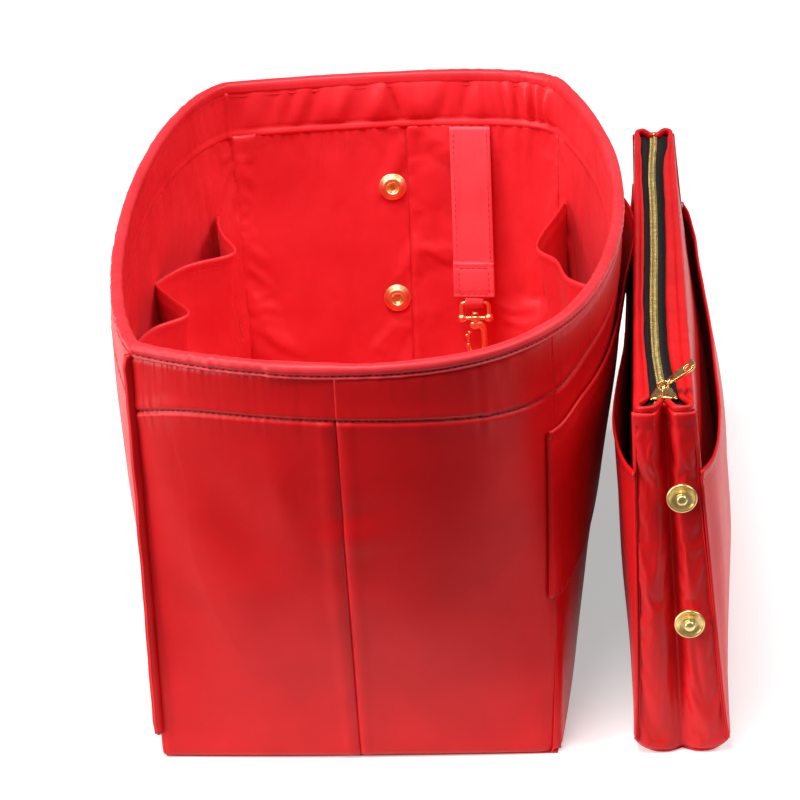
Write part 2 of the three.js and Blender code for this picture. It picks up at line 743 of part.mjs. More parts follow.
// Half the width of the pouch at a share along it and up it.
function pouchHalfWidth(u, v) {
  const top = THREE.MathUtils.lerp(pouchHalf.topNear, pouchHalf.topFar, u);
  return THREE.MathUtils.lerp(pouchHalf.base, top, v ** pouch.taper);
}

// A point off the pouch's side: hand is -1 for the left side and 1 for the right.
function pouchPoint(hand, u, v, out) {
  const belly = hand < 0 ? pouchBelly.left : pouchBelly.right;
  const swell = belly * Math.sin(Math.PI * u) * Math.sin(Math.PI * v);
  const x = hand * (pouchHalfWidth(u, v) + swell + out) - pouch.lean * v;
  return new THREE.Vector3(x, (u - 0.5) * pouch.length, v * pouch.height);
}

const pouchFloor = fabric.shell + fabric.gap;

function pouchPanel(hand) {
  const end = (fabric.shell + fabric.gap) / pouch.length;
  const low = pouchFloor / pouch.height;
  return sheet([pouchSteps.length, pouchSteps.height], (s, t, d) => {
    const u = THREE.MathUtils.lerp(end, 1 - end, s);
    return pouchPoint(hand, u, THREE.MathUtils.lerp(low, 1, t), -d * fabric.shell);
  });
}

// A slip pocket on the pouch's side: its mouth stands off most near the end that faces the viewer.
function slipPocket(hand) {
  const { gape, atShare } = hand < 0 ? slip.left : slip.right;
  const edge = (fabric.shell + 2 * fabric.gap) / pouch.length;
  return sheet([2 * pouchSteps.length, 4], (s, t, d) => {
    const z = THREE.MathUtils.lerp(slip.bottom, pouch.height - slip.drop, t);
    const off = (s - atShare) / slip.spreadShare;
    const stand = gape * Math.exp(-off * off) * t * Math.sin(Math.PI * s) ** sewnEase;
    const out = fabric.gap + stand + d * fabric.hem;
    return pouchPoint(hand, THREE.MathUtils.clamp(s, edge, 1 - edge), z / pouch.height, out);
  });
}

// How far a gusset's face lies inside the pouch's end, at a share across it.
function gussetDepth(share) {
  const off = (share - 0.5) / gusset.creaseShare;
  const crease = gusset.creaseDepth * Math.exp(-off * off);
  return crease - gusset.swell * Math.sin(Math.PI * Math.abs(2 * share - 1)) + gusset.swell;
}

// An end gusset, folded inwards along its middle.
function gussetGeometry(end) {
  const low = pouchFloor / pouch.height;
  const top = (zip.z - zip.thickness - slider.plate - fabric.gap * 3) / pouch.height;
  const u = end < 0 ? 0 : 1;
  const geometry = sheet([gusset.steps, 3], (s, t, d) => {
    const v = THREE.MathUtils.lerp(low, top, t);
    const half = pouchHalfWidth(u, v) - fabric.shell - fabric.gap;
    const x = (2 * s - 1) * half - pouch.lean * v;
    const y = end * (pouch.length / 2 - gussetDepth(s) - d * fabric.shell);
    return new THREE.Vector3(x, y, v * pouch.height);
  });
  const bores = studPlaces(end).map(({ at, face }) => {
    const reach = gusset.creaseDepth;
    const bore = stud.shank + fabric.gap;
    return turned([[0, -reach], [bore, -reach], [bore, reach], [0, reach]], at, face);
  });
  return cut(geometry, ...bores);
}

// The studs stand on the half of each gusset beside its crease and meet the sockets of that end.
function studPlaces(end) {
  return snapHeights.map((socketHeight) => {
    const z = socketHeight - stud.drop;
    const v = z / pouch.height;
    const x = -end * stud.offset - pouch.lean * v;
    return {
      at: new THREE.Vector3(x, (end * pouch.length) / 2 + end * fabric.gap, z),
      face: new THREE.Vector3(0, end, 0),
    };
  });
}

function addStuds(group, end) {
  const radius = snap.diameter / 2;
  const { flange, bead, neck, ballHeight, shank, capRadius } = stud;
  const half = pouchHalfWidth(end < 0 ? 0 : 1, snapHeights[1] / pouch.height);
  const deepest = gussetDepth((stud.offset - capRadius + half) / (2 * half));
  const inside = deepest + fabric.shell + fabric.gap * 3;
  const profile = [
    [0, -inside - flange], [capRadius, -inside - flange], [capRadius, -inside], [shank, -inside],
    [shank, 0], [radius, 0], [radius, flange + bead], [radius - bead, flange + bead],
    [radius - bead * 2, flange], [neck, flange], [neck, flange + bead], [stud.ball, ballHeight - bead],
    [neck, ballHeight], [0, ballHeight],
  ];
  studPlaces(end).forEach(({ at, face }, index) => {
    const name = `${end < 0 ? "near" : "far"}_snap_stud_${index === 0 ? "upper" : "lower"}`;
    group.add(piece(name, turned(profile, at, face), "gold"));
  });
}

function pouchBase() {
  const outline = [];
  for (const hand of [1, -1]) {
    for (let i = 0; i <= pouchSteps.length; i++) {
      const u = hand > 0 ? i / pouchSteps.length : 1 - i / pouchSteps.length;
      const p = pouchPoint(hand, u, 0, 0);
      outline.push(new THREE.Vector2(p.x, p.y));
    }
  }
  const options = { depth: fabric.shell, bevelEnabled: false };
  return merged(new THREE.ExtrudeGeometry(new THREE.Shape(outline), options));
}

// The zip

const zipCentre = -pouch.lean;
const sliderY = -pouch.length / 2 + slider.restFromEnd;

// How far a row of teeth has parted from the middle: closed behind the slider, apart in front of it.
function parting(y) {
  const inSlider = THREE.MathUtils.clamp((sliderY + slider.length / 6 - y) / (slider.length / 2), 0, 1);
  const start = sliderY - slider.length / 2;
  const beyond = THREE.MathUtils.clamp((start - y) / (slider.restFromEnd - slider.length / 2), 0, 1);
  return spread.slider * inSlider + (spread.end - spread.slider) * beyond;
}

const rowNear = -pouch.length / 2 + stop.length + 2 * fabric.hem;
const rowFar = pouch.length / 2 - stop.length - 3 * fabric.hem;

// A row of teeth on its spine, drawn as a comb from above.
function toothRow(hand) {
  const points = [];
  const at = (x, y) => points.push(new THREE.Vector2(hand * (x + parting(y)), y));
  const start = hand < 0 ? rowNear : rowNear + zip.pitch / 2;
  const count = Math.floor((rowFar - start - zip.tooth) / zip.pitch);
  const backSteps = 12;
  at(zip.half, rowNear);
  for (let i = 1; i < backSteps; i++) {
    at(zip.half, THREE.MathUtils.lerp(rowNear, sliderY + slider.length, i / backSteps));
  }
  at(zip.half, rowFar);
  at(zip.spine, rowFar);
  for (let i = count; i >= 0; i--) {
    const y = start + i * zip.pitch;
    at(zip.spine, y + zip.tooth);
    at(-zip.cross, y + zip.tooth - zip.taper);
    at(-zip.cross, y + zip.taper);
    at(zip.spine, y);
  }
  if (start > rowNear) at(zip.spine, rowNear);
  const options = { depth: zip.thickness, bevelEnabled: false };
  const geometry = new THREE.ExtrudeGeometry(new THREE.Shape(points), options);
  return merged(geometry.translate(zipCentre, 0, zip.z - zip.thickness));
}

// Half a tape, from beside its row of teeth to under the lip.
function tapeGeometry(hand) {
  const middle = zip.z - zip.thickness / 2;
  return sheet([1, tapeSteps], (s, t, d) => {
    const y = THREE.MathUtils.lerp(rowNear, rowFar, t ** nearCrowding);
    const u = y / pouch.length + 0.5;
    const inner = zip.half + tape.edge + parting(y);
    const outer = pouchHalfWidth(u, 1) - fabric.shell - fabric.gap;
    const x = zipCentre + hand * THREE.MathUtils.lerp(inner, outer, s);
    return new THREE.Vector3(x, y, middle + (d - 0.5) * tape.thickness);
  });
}

// A lip beside the zip: the panel's folded top, with two ridges along it.
function lipGeometry(hand) {
  const bottom = pouch.height + fabric.gap;
  const end = 2 * fabric.hem;
  return sheet([4, 12], (s, t, d) => {
    const y = THREE.MathUtils.lerp(-pouch.length / 2 + end, pouch.length / 2 - end, t ** nearCrowding);
    const outer = pouchHalfWidth(y / pouch.length + 0.5, 1);
    const inner = lip.inner + Math.max(parting(y) - spread.slider, 0);
    const x = zipCentre + hand * THREE.MathUtils.lerp(inner, outer, s);
    const ridge = d > 0.5 ? lip.ridge * Math.abs(Math.sin(2 * Math.PI * s)) : 0;
    return new THREE.Vector3(x, y, bottom + d * lip.height + ridge);
  });
}

// The slider: two plates with turned edges, joined by the wedge that parts the teeth, and a bridge.
function sliderGeometry() {
  const { length, front, rear, plate, flange, wedge } = slider;
  const low = zip.z - zip.thickness - fabric.gap;
  const high = zip.z + fabric.gap;
  const shoulder = length / 6;
  const drawn = (inset, run) => {
    const [wide, narrow, end] = [front - inset, rear - inset, length / 2 + run];
    const shape = new THREE.Shape();
    shape.moveTo(-wide + flange, -end);
    shape.lineTo(wide - flange, -end);
    shape.quadraticCurveTo(wide, -end, wide, -end + shoulder);
    shape.lineTo(wide, -shoulder);
    shape.lineTo(narrow, shoulder);
    shape.lineTo(narrow, end);
    shape.lineTo(-narrow, end);
    shape.lineTo(-narrow, shoulder);
    shape.lineTo(-wide, -shoulder);
    shape.lineTo(-wide, -end + shoulder);
    shape.quadraticCurveTo(-wide, -end, -wide + flange, -end);
    return shape;
  };
  const extruded = (shape, depth, z) => {
    const options = { depth, bevelEnabled: false, curveSegments: 3 };
    return merged(new THREE.ExtrudeGeometry(shape, options)).translate(0, 0, z);
  };
  const inner = extruded(drawn(flange, cutOverrun), high - low, low);
  const outer = extruded(drawn(0, 0), high - low + 2 * plate, low - plate);
  const middle = zip.z - zip.thickness / 2;
  const slot = tape.thickness / 2 + fabric.gap;
  const side = front + cutOverrun;
  const slots = block([-side, -length, middle - slot], [side, length, middle + slot]);
  const post = new THREE.Shape();
  post.moveTo(0, -length / 2 + flange);
  post.lineTo(wedge, -length / 2 + shoulder);
  post.lineTo(0, -shoulder / 2);
  post.lineTo(-wedge, -length / 2 + shoulder);
  const wedgePost = extruded(post, high - low + 2 * fabric.gap, low - fabric.gap);
  return joined(cut(outer, inner, slots), wedgePost, bridgeGeometry(high + plate));
}

// The bridge over the slider's top plate, which the puller hangs on.
function bridgeGeometry(z) {
  const { width, length, height, bar } = bridge;
  const sunk = z - fabric.gap;
  const outer = block([-width / 2, -length / 2, sunk], [width / 2, length / 2, z + height]);
  const under = block(
    [-width, -length / 2 + bar, z],
    [width, length / 2 - bar, z + height - bar],
  );
  return cut(outer, under);
}

const pullerZ = zip.z + fabric.gap + slider.plate + bridge.height - bridge.bar / 2;

// The puller: an eye round the bridge's bar and a flat tab that widens to its round end. It is drawn
// level, pointing right, and swings about the bar.
function pullerGeometry() {
  const { length, neck, tip, thickness, eyeInner, eyeOuter, eyeWidth, holeRadius } = puller;
  const end = length - tip / 2;
  const shape = new THREE.Shape();
  shape.moveTo(eyeInner + fabric.gap, -neck / 2);
  shape.lineTo(end, -tip / 2);
  shape.absarc(end, 0, tip / 2, -quarterTurn, quarterTurn, false);
  shape.lineTo(eyeInner + fabric.gap, neck / 2);
  const hole = new THREE.Path();
  hole.absarc(end, 0, holeRadius, 0, 2 * Math.PI, true);
  shape.holes.push(hole);
  const tab = merged(
    new THREE.ExtrudeGeometry(shape, { depth: thickness, bevelEnabled: false, curveSegments: 6 }),
  );
  tab.translate(0, 0, -thickness / 2);
  const outer = rod(eyeOuter, eyeWidth, "y", [0, 0, 0]);
  const bore = rod(eyeInner, eyeWidth + cutOverrun, "y", [0, 0, 0]);
  return cut(joined(outer, tab), bore);
}

function addZip(group) {
  for (const hand of [-1, 1]) {
    const side = hand < 0 ? "left" : "right";
    group.add(
      piece(`zip_lip_${side}`, lipGeometry(hand), "satin"),
      piece(`zip_tape_${side}`, tapeGeometry(hand), "tape"),
      piece(`zip_teeth_${side}`, toothRow(hand), "gold"),
    );
    const x = zipCentre + hand * (zip.spine + spread.end);
    const low = zip.z - zip.thickness / 2 - stop.height / 2;
    const far = rowNear - fabric.gap;
    const half = stop.width / 2;
    const topStop = block([x - half, far - stop.length, low], [x + half, far, low + stop.height]);
    group.add(piece(`zip_top_stop_${side}`, topStop, "gold"));
  }
  const end = rowFar + fabric.gap;
  const middle = zip.z - zip.thickness / 2;
  const bottomStop = block(
    [zipCentre - zip.half, end, middle - stop.height / 2],
    [zipCentre + zip.half, end + stop.length, middle + stop.height / 2],
  );
  const body = piece("zip_slider", sliderGeometry(), "gold");
  body.position.set(zipCentre, sliderY, 0);
  const tab = piece("zip_puller", pullerGeometry(), "gold");
  tab.position.set(zipCentre, sliderY, pullerZ);
  tab.rotation.y = -puller.tilt;
  group.add(piece("zip_bottom_stop", bottomStop, "gold"), body, tab);
}

function addPouch(root) {
  const group = new THREE.Group();
  group.position.set(pouch.x, pouch.y, 0);
  group.rotation.z = pouch.yaw;
  group.add(
    piece("pouch_panel_left", pouchPanel(-1), "satin"),
    piece("pouch_panel_right", pouchPanel(1), "satin"),
    piece("pouch_gusset_near", gussetGeometry(-1), "satin"),
    piece("pouch_gusset_far", gussetGeometry(1), "satin"),
    piece("pouch_base", pouchBase(), "satin"),
    piece("pouch_slip_pocket_left", slipPocket(-1), "satin"),
    piece("pouch_slip_pocket_right", slipPocket(1), "satin"),
  );
  addStuds(group, -1);
  addStuds(group, 1);
  addZip(group);
  root.add(group);
}

const root = new THREE.Group();
addBase(root);
addWalls(root);
addRim(root);
addWelt(root, "corner_welt_near_left", "near");
addWelt(root, "corner_welt_far_left", "left");
addOuterPocket(root);
addInnerPockets(root, "inner_pockets_left", "left", leftPockets);
addInnerPockets(root, "inner_pockets_right", "right", rightPockets);
addSockets(root, "near");
addSockets(root, "far");
addKeyStrap(root);
addPouch(root);

export default root;
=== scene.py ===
import logging
import math
from contextlib import contextmanager
from dataclasses import dataclass
from enum import Enum
from typing import Callable, Iterable, Iterator, Sequence

import bmesh
import bpy
import numpy as np
from mathutils import Matrix, Vector


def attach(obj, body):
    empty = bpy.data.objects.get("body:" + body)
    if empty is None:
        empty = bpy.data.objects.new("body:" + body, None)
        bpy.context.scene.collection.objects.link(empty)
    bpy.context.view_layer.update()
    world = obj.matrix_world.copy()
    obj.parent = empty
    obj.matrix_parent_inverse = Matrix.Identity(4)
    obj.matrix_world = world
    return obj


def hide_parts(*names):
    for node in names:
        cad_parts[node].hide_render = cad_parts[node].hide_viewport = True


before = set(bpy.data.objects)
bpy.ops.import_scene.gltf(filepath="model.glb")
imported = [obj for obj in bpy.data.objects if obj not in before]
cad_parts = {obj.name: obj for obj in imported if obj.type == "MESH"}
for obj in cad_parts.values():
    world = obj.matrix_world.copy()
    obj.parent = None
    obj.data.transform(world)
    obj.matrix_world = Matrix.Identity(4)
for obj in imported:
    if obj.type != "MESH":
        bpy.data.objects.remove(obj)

LOG = logging.getLogger("organizer")
MM = 0.001
WELD = 0.01 * MM
FINE_WELD = 0.002 * MM
Array = np.ndarray
Colour = tuple[float, float, float]
Place = Callable[[Array, Array], Array]
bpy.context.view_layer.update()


class Body(Enum):
    """The moving bodies that the pieces ride on."""

    ORGANIZER = "organizer"
    STRAP = "key_strap"
    EYE = "clasp_eye"
    HOOK = "clasp_hook"
    GATE = "clasp_gate"
    POUCH = "pouch"
    SLIDER = "zip_slider"
    PULLER = "zip_puller"


class Slot(Enum):
    """The record's material slots."""

    SATIN = "satin"
    LINING = "lining"
    FELT = "stiffener"
    TAPE = "zip_tape"
    GOLD = "gold"


class Side(Enum):
    """The organizer's walls, in the order in which the rim runs round them."""

    NEAR = "near"
    RIGHT = "right"
    FAR = "far"
    LEFT = "left"


# Small sums on arrays


def lerp(a, b, share):
    """Returns what lies at a share of the way from a to b."""
    return a + (b - a) * share


def hump(x: Array, centre: float, width: float) -> Array:
    """Returns a smooth hump of height 1 at centre that fades over width."""
    return np.exp(-(((x - centre) / width) ** 2))


def ramp(x: Array, low: float, high: float) -> Array:
    """Returns 0 below low, 1 above high and a smooth rise between."""
    share = np.clip((x - low) / (high - low), 0, 1)
    return share * share * (3 - 2 * share)


def levels(low: float, high: float, step: float, seam: float) -> Array:
    """Spreads rows between two heights, closer together beside a sewn line.

    Args:
        low: the first height.
        high: the last height.
        step: the rows' spacing.
        seam: the height of the sewn line.

    Returns:
        The heights, in order.
    """
    clear, beside = 2.6, (0.4, 0.9, 1.5, 2.2)
    rows = [row for row in np.linspace(low, high, int((high - low) / step) + 1) if abs(row - seam) > clear]
    rows += [seam, *(seam + hand * off for off in beside for hand in (-1, 1))]
    return np.array(sorted(row for row in rows if low <= row <= high))


def picked(rows: Array, t: Array) -> Array:
    """Returns the row at each share of their count."""
    return np.interp(t, np.linspace(0, 1, len(rows)), rows)


def columns_of(*parts) -> Array:
    """Returns the parts side by side, as the columns of one array of points."""
    return np.stack(np.broadcast_arrays(*parts), axis=-1)


def unit(vectors: Array) -> Array:
    """Returns the vectors at length 1."""
    return vectors / np.maximum(np.linalg.norm(vectors, axis=-1, keepdims=True), 1e-12)


class Ripple:
    """Smooth random ripples over a plane, the same on every run."""

    CELLS = 64

    def __init__(self, seed: int) -> None:
        """Lays out a random slope at each corner of a grid.

        Args:
            seed: which ripples these are.
        """
        turn = np.random.default_rng(seed).uniform(0, 2 * math.pi, (self.CELLS, self.CELLS))
        self.slopes = np.stack([np.cos(turn), np.sin(turn)], axis=-1)

    def __call__(self, x: Array, y: Array) -> Array:
        """Reads the ripples.

        Args:
            x: places along the plane, in cells.
            y: places across it, in cells.

        Returns:
            Heights from about -0.7 to 0.7.
        """
        x, y = np.broadcast_arrays(np.asarray(x, float), np.asarray(y, float))
        left, low = np.floor(x).astype(int), np.floor(y).astype(int)
        over, up = x - left, y - low

        def corner(dx: int, dy: int) -> Array:
            """Returns what one corner's slope gives."""
            slope = self.slopes[(left + dx) % self.CELLS, (low + dy) % self.CELLS]
            return slope[..., 0] * (over - dx) + slope[..., 1] * (up - dy)

        ease_x, ease_y = (w * w * w * (w * (w * 6 - 15) + 10) for w in (over, up))
        below = lerp(corner(0, 0), corner(1, 0), ease_x)
        return lerp(below, lerp(corner(0, 1), corner(1, 1), ease_x), ease_y)


# Meshes


def mesh_from(name: str, work: bmesh.types.BMesh) -> bpy.types.Mesh:
    """Writes a bmesh into a new smooth mesh and frees it.

    Args:
        name: the mesh's name.
        work: the bmesh, which is freed.

    Returns:
        The mesh.
    """
    mesh = bpy.data.meshes.new(name)
    work.to_mesh(mesh)
    work.free()
    mesh.shade_smooth()
    return mesh


@contextmanager
def editing(mesh: bpy.types.Mesh) -> Iterator[bmesh.types.BMesh]:
    """Opens a mesh as a bmesh, and writes it back smooth when the block ends."""
    work = bmesh.new()
    work.from_mesh(mesh)
    yield work
    work.to_mesh(mesh)
    work.free()
    mesh.shade_smooth()


def three_of(mesh: bpy.types.Mesh, name: str = "co") -> Array:
    """Returns a vector of each of a mesh's points, such as its place, as an array with three columns."""
    flat = np.zeros(len(mesh.vertices) * 3)
    mesh.vertices.foreach_get(name, flat)
    return flat.reshape(-1, 3)


def corners_of(mesh: bpy.types.Mesh) -> Array:
    """Returns which of a mesh's points each corner of its faces is."""
    corner = np.empty(len(mesh.loops), int)
    mesh.loops.foreach_get("vertex_index", corner)
    return corner


def mapped_grid(
    name: str, steps: tuple[int, int], place: Place, flat: tuple[float, float], weld: bool = False
) -> bpy.types.Mesh:
    """Lays a flat grid onto a surface.

    Args:
        name: the mesh's name.
        steps: how many cells the grid has each way.
        place: gives points in millimetres for shares along and across the grid.
        flat: the cloth's size each way, in millimetres, for its cloth map.
        weld: whether edges that meet are joined.

    Returns:
        The mesh, with a cloth map in metres.
    """
    work = bmesh.new()
    bmesh.ops.create_grid(work, x_segments=steps[0], y_segments=steps[1], size=0.5)
    mesh = mesh_from(name, work)
    shares = np.clip(three_of(mesh)[:, :2] + 0.5, 0, 1)
    corner = corners_of(mesh)
    cloth = mesh.uv_layers.new(name="cloth")
    cloth.data.foreach_set("uv", (shares[corner] * np.array(flat) * MM).ravel())
    mesh.vertices.foreach_set("co", (place(shares[:, 0], shares[:, 1]) * MM).ravel())
    if weld:
        with editing(mesh) as work:
            bmesh.ops.remove_doubles(work, verts=work.verts, dist=WELD)
    mesh.update()
    return mesh


def shares_of(mesh: bpy.types.Mesh, flat: tuple[float, float]) -> Array:
    """Returns the share along and across the cloth at which each point of a sheet lies."""
    cloth = np.empty(len(mesh.loops) * 2)
    mesh.uv_layers["cloth"].data.foreach_get("uv", cloth)
    shares = np.zeros((len(mesh.vertices), 2))
    shares[corners_of(mesh)] = cloth.reshape(-1, 2) / (np.array(flat) * MM)
    return shares


def flipped(mesh: bpy.types.Mesh, wanted: bool = True) -> bpy.types.Mesh:
    """Turns a mesh's faces to look the other way where that is wanted, and returns it."""
    if wanted:
        mesh.flip_normals()
    return mesh


def capped(mesh: bpy.types.Mesh) -> bpy.types.Mesh:
    """Closes a swept mesh's open ends, turns its faces outwards and returns it."""
    with editing(mesh) as work:
        bmesh.ops.holes_fill(work, edges=[edge for edge in work.edges if edge.is_boundary], sides=0)
        bmesh.ops.recalc_face_normals(work, faces=work.faces)
    return mesh


def joined(name: str, meshes: Iterable[bpy.types.Mesh]) -> bpy.types.Mesh:
    """Puts several meshes into one.

    Args:
        name: the new mesh's name.
        meshes: what goes into it. They are removed.

    Returns:
        The mesh.
    """
    work = bmesh.new()
    for mesh in meshes:
        work.from_mesh(mesh)
        bpy.data.meshes.remove(mesh)
    return mesh_from(name, work)


def turned(name: str, profile: Sequence[tuple[float, float]], steps: int = 48) -> bpy.types.Mesh:
    """Spins a profile about the Z axis.

    Args:
        name: the mesh's name.
        profile: radii and heights in millimetres, from one end to the other.
        steps: how many steps the spin has.

    Returns:
        The closed mesh.
    """
    work = bmesh.new()
    points = [work.verts.new((radius * MM, 0, height * MM)) for radius, height in profile]
    edges = [work.edges.new(pair) for pair in zip(points, points[1:])]
    bmesh.ops.spin(
        work, geom=points + edges, axis=(0, 0, 1), cent=(0, 0, 0), steps=steps,
        angle=2 * math.pi, use_merge=True,
    )
    bmesh.ops.remove_doubles(work, verts=work.verts, dist=FINE_WELD)
    bmesh.ops.recalc_face_normals(work, faces=work.faces)
    return mesh_from(name, work)


def ball(
    name: str, radius: float, at: Sequence[float], stretch: Sequence[float] = (1, 1, 1)
) -> bpy.types.Mesh:
    """Makes a ball, or an egg if it is stretched.

    Args:
        name: the mesh's name.
        radius: its radius in millimetres.
        at: its middle in millimetres.
        stretch: how much it is stretched along each axis.

    Returns:
        The mesh.
    """
    work = bmesh.new()
    bmesh.ops.create_uvsphere(work, u_segments=20, v_segments=12, radius=radius * MM)
    bmesh.ops.scale(work, vec=stretch, verts=work.verts)
    bmesh.ops.translate(work, vec=Vector(at) * MM, verts=work.verts)
    return mesh_from(name, work)


def raise_faces(work: bmesh.types.BMesh, height: float) -> None:
    """Extrudes all of a flat bmesh's faces up by a height in millimetres."""
    raised = bmesh.ops.extrude_face_region(work, geom=list(work.faces))["geom"]
    points = [item for item in raised if isinstance(item, bmesh.types.BMVert)]
    bmesh.ops.translate(work, vec=(0, 0, height * MM), verts=points)
    bmesh.ops.recalc_face_normals(work, faces=work.faces)


def round_edges(
    work: bmesh.types.BMesh, edges: list[bmesh.types.BMEdge], width: float,
    steps: int = 2, clamp: bool = False,
) -> None:
    """Rounds a bmesh's edges by a width in millimetres, in so many steps."""
    bmesh.ops.bevel(
        work, geom=edges, offset=width * MM, segments=steps, profile=0.5,
        affect="EDGES", material=-1, clamp_overlap=clamp,
    )


def plate(
    name: str, outline: Sequence[tuple[float, float]], low: float, high: float, edge: float
) -> bpy.types.Mesh:
    """Extrudes an outline and rounds its edges.

    Args:
        name: the mesh's name.
        outline: corners in millimetres, in order.
        low: the underside's height in millimetres.
        high: the top's height in millimetres.
        edge: how far the edges are rounded, in millimetres.

    Returns:
        The mesh.
    """
    work = bmesh.new()
    work.faces.new([work.verts.new((x * MM, y * MM, low * MM)) for x, y in outline])
    raise_faces(work, high - low)
    round_edges(work, list(work.edges), edge, clamp=True)
    return mesh_from(name, work)


def tube(
    name: str, path: Array, radius: float | Array, sides: int = 14,
    closed: bool = False, flatness: float = 1.0,
) -> bpy.types.Mesh:
    """Sweeps a round or oval section along a path.

    Args:
        name: the mesh's name.
        path: points in millimetres, close enough together to look smooth.
        radius: the section's radius in millimetres, or one for each point.
        sides: how many sides the section has.
        closed: whether the path ends where it starts.
        flatness: the section's second radius, as a share of its first.

    Returns:
        The mesh, with its ends closed.
    """
    path = np.asarray(path, float)
    count = len(path)
    radius = np.broadcast_to(np.asarray(radius, float), count)
    if closed:
        path, radius = np.vstack([path, path[:1]]), np.append(radius, radius[0])
        along = unit(np.roll(path[:-1], -1, axis=0) - np.roll(path[:-1], 1, axis=0))
        along = np.vstack([along, along[:1]])
    else:
        along = unit(np.gradient(path, axis=0))
    away = np.array([0.0, 1.0, 0.0]) if np.abs(along[:, 1]).max() < 0.9 else np.array([0.0, 0.0, 1.0])
    across = unit(np.cross(along, away))
    other = np.cross(across, along)

    def place(s: Array, t: Array) -> Array:
        """Returns points of the tube's skin."""
        index = np.rint(s * (len(path) - 1)).astype(int)
        turn = 2 * math.pi * t[:, None]
        ring = np.cos(turn) * across[index] + flatness * np.sin(turn) * other[index]
        return path[index] + radius[index, None] * ring

    return capped(mapped_grid(name, (len(path) - 1, sides), place, (1, 1), weld=True))


def curve_through(points: Sequence[Sequence[float]], count: int, closed: bool = False) -> Array:
    """Draws a smooth curve through points.

    Args:
        points: the points that it passes through.
        count: how many points the curve gets.
        closed: whether it ends where it starts.

    Returns:
        The curve's points, evenly spread between its knots.
    """
    knots = np.asarray(points, float)
    last = len(knots) if closed else len(knots) - 1
    where = np.linspace(0, last, count, endpoint=not closed)
    index = np.minimum(where.astype(int), last - 1)
    share = (where - index)[:, None]

    def knot(offset: int) -> Array:
        """Returns the knots that lie so many places on."""
        moved = index + offset
        return knots[moved % len(knots)] if closed else knots[np.clip(moved, 0, len(knots) - 1)]

    before, start, end, after = (knot(offset) for offset in (-1, 0, 1, 2))
    return 0.5 * (
        2 * start + (end - before) * share
        + (2 * before - 5 * start + 4 * end - after) * share**2
        + (3 * start - before - 3 * end + after) * share**3
    )


def read_curve(knots: Sequence[tuple[float, float]], x: Array) -> Array:
    """Returns the height over x of the smooth curve through knots."""
    curve = curve_through(knots, 200)
    return np.interp(x, curve[:, 0], curve[:, 1])


def run_of(points: Array) -> Array:
    """Returns how far along a line each of its points lies."""
    return np.concatenate([[0], np.cumsum(np.linalg.norm(np.diff(points, axis=0), axis=1))])


def read_along(run: Array, values: Array, where: Array | float) -> Array:
    """Returns a line's values at distances along it."""
    return np.stack([np.interp(where, run, column) for column in values.T], axis=-1)


def evenly(points: Array, step: float) -> Array:
    """Returns a line's points again, spaced a step apart."""
    run = run_of(points)
    where = np.linspace(0, run[-1], max(int(round(run[-1] / step)), 1) + 1)
    return read_along(run, points, where)


def facing(at: Sequence[float], towards: Sequence[float]) -> Matrix:
    """Returns the place of a piece drawn upright, so that it stands at a point and points a way."""
    turn = Vector(towards).to_track_quat("Z", "Y").to_matrix().to_4x4()
    return Matrix.Translation(Vector(at) * MM) @ turn


class Copies:
    """Many copies of one small shape, gathered into one mesh."""

    def __init__(self, shape: bpy.types.Mesh) -> None:
        """Keeps the shape.

        Args:
            shape: the small mesh, which is removed at the end.
        """
        self.shape = shape
        self.points = three_of(shape)
        self.work = bmesh.new()

    def add(self, at: Array, along: Array, up: Array) -> None:
        """Adds a copy.

        Args:
            at: its place in millimetres.
            along: the way of its X axis.
            up: about the way of its Z axis.
        """
        along = unit(along)
        side = unit(np.cross(up, along))
        turn = np.stack([along, side, np.cross(along, side)], axis=1)
        self.shape.vertices.foreach_set("co", (self.points @ turn.T + at * MM).ravel())
        self.work.from_mesh(self.shape)

    def mesh(self, name: str) -> bpy.types.Mesh:
        """Returns the mesh with all the copies."""
        bpy.data.meshes.remove(self.shape)
        return mesh_from(name, self.work)


# Finishes


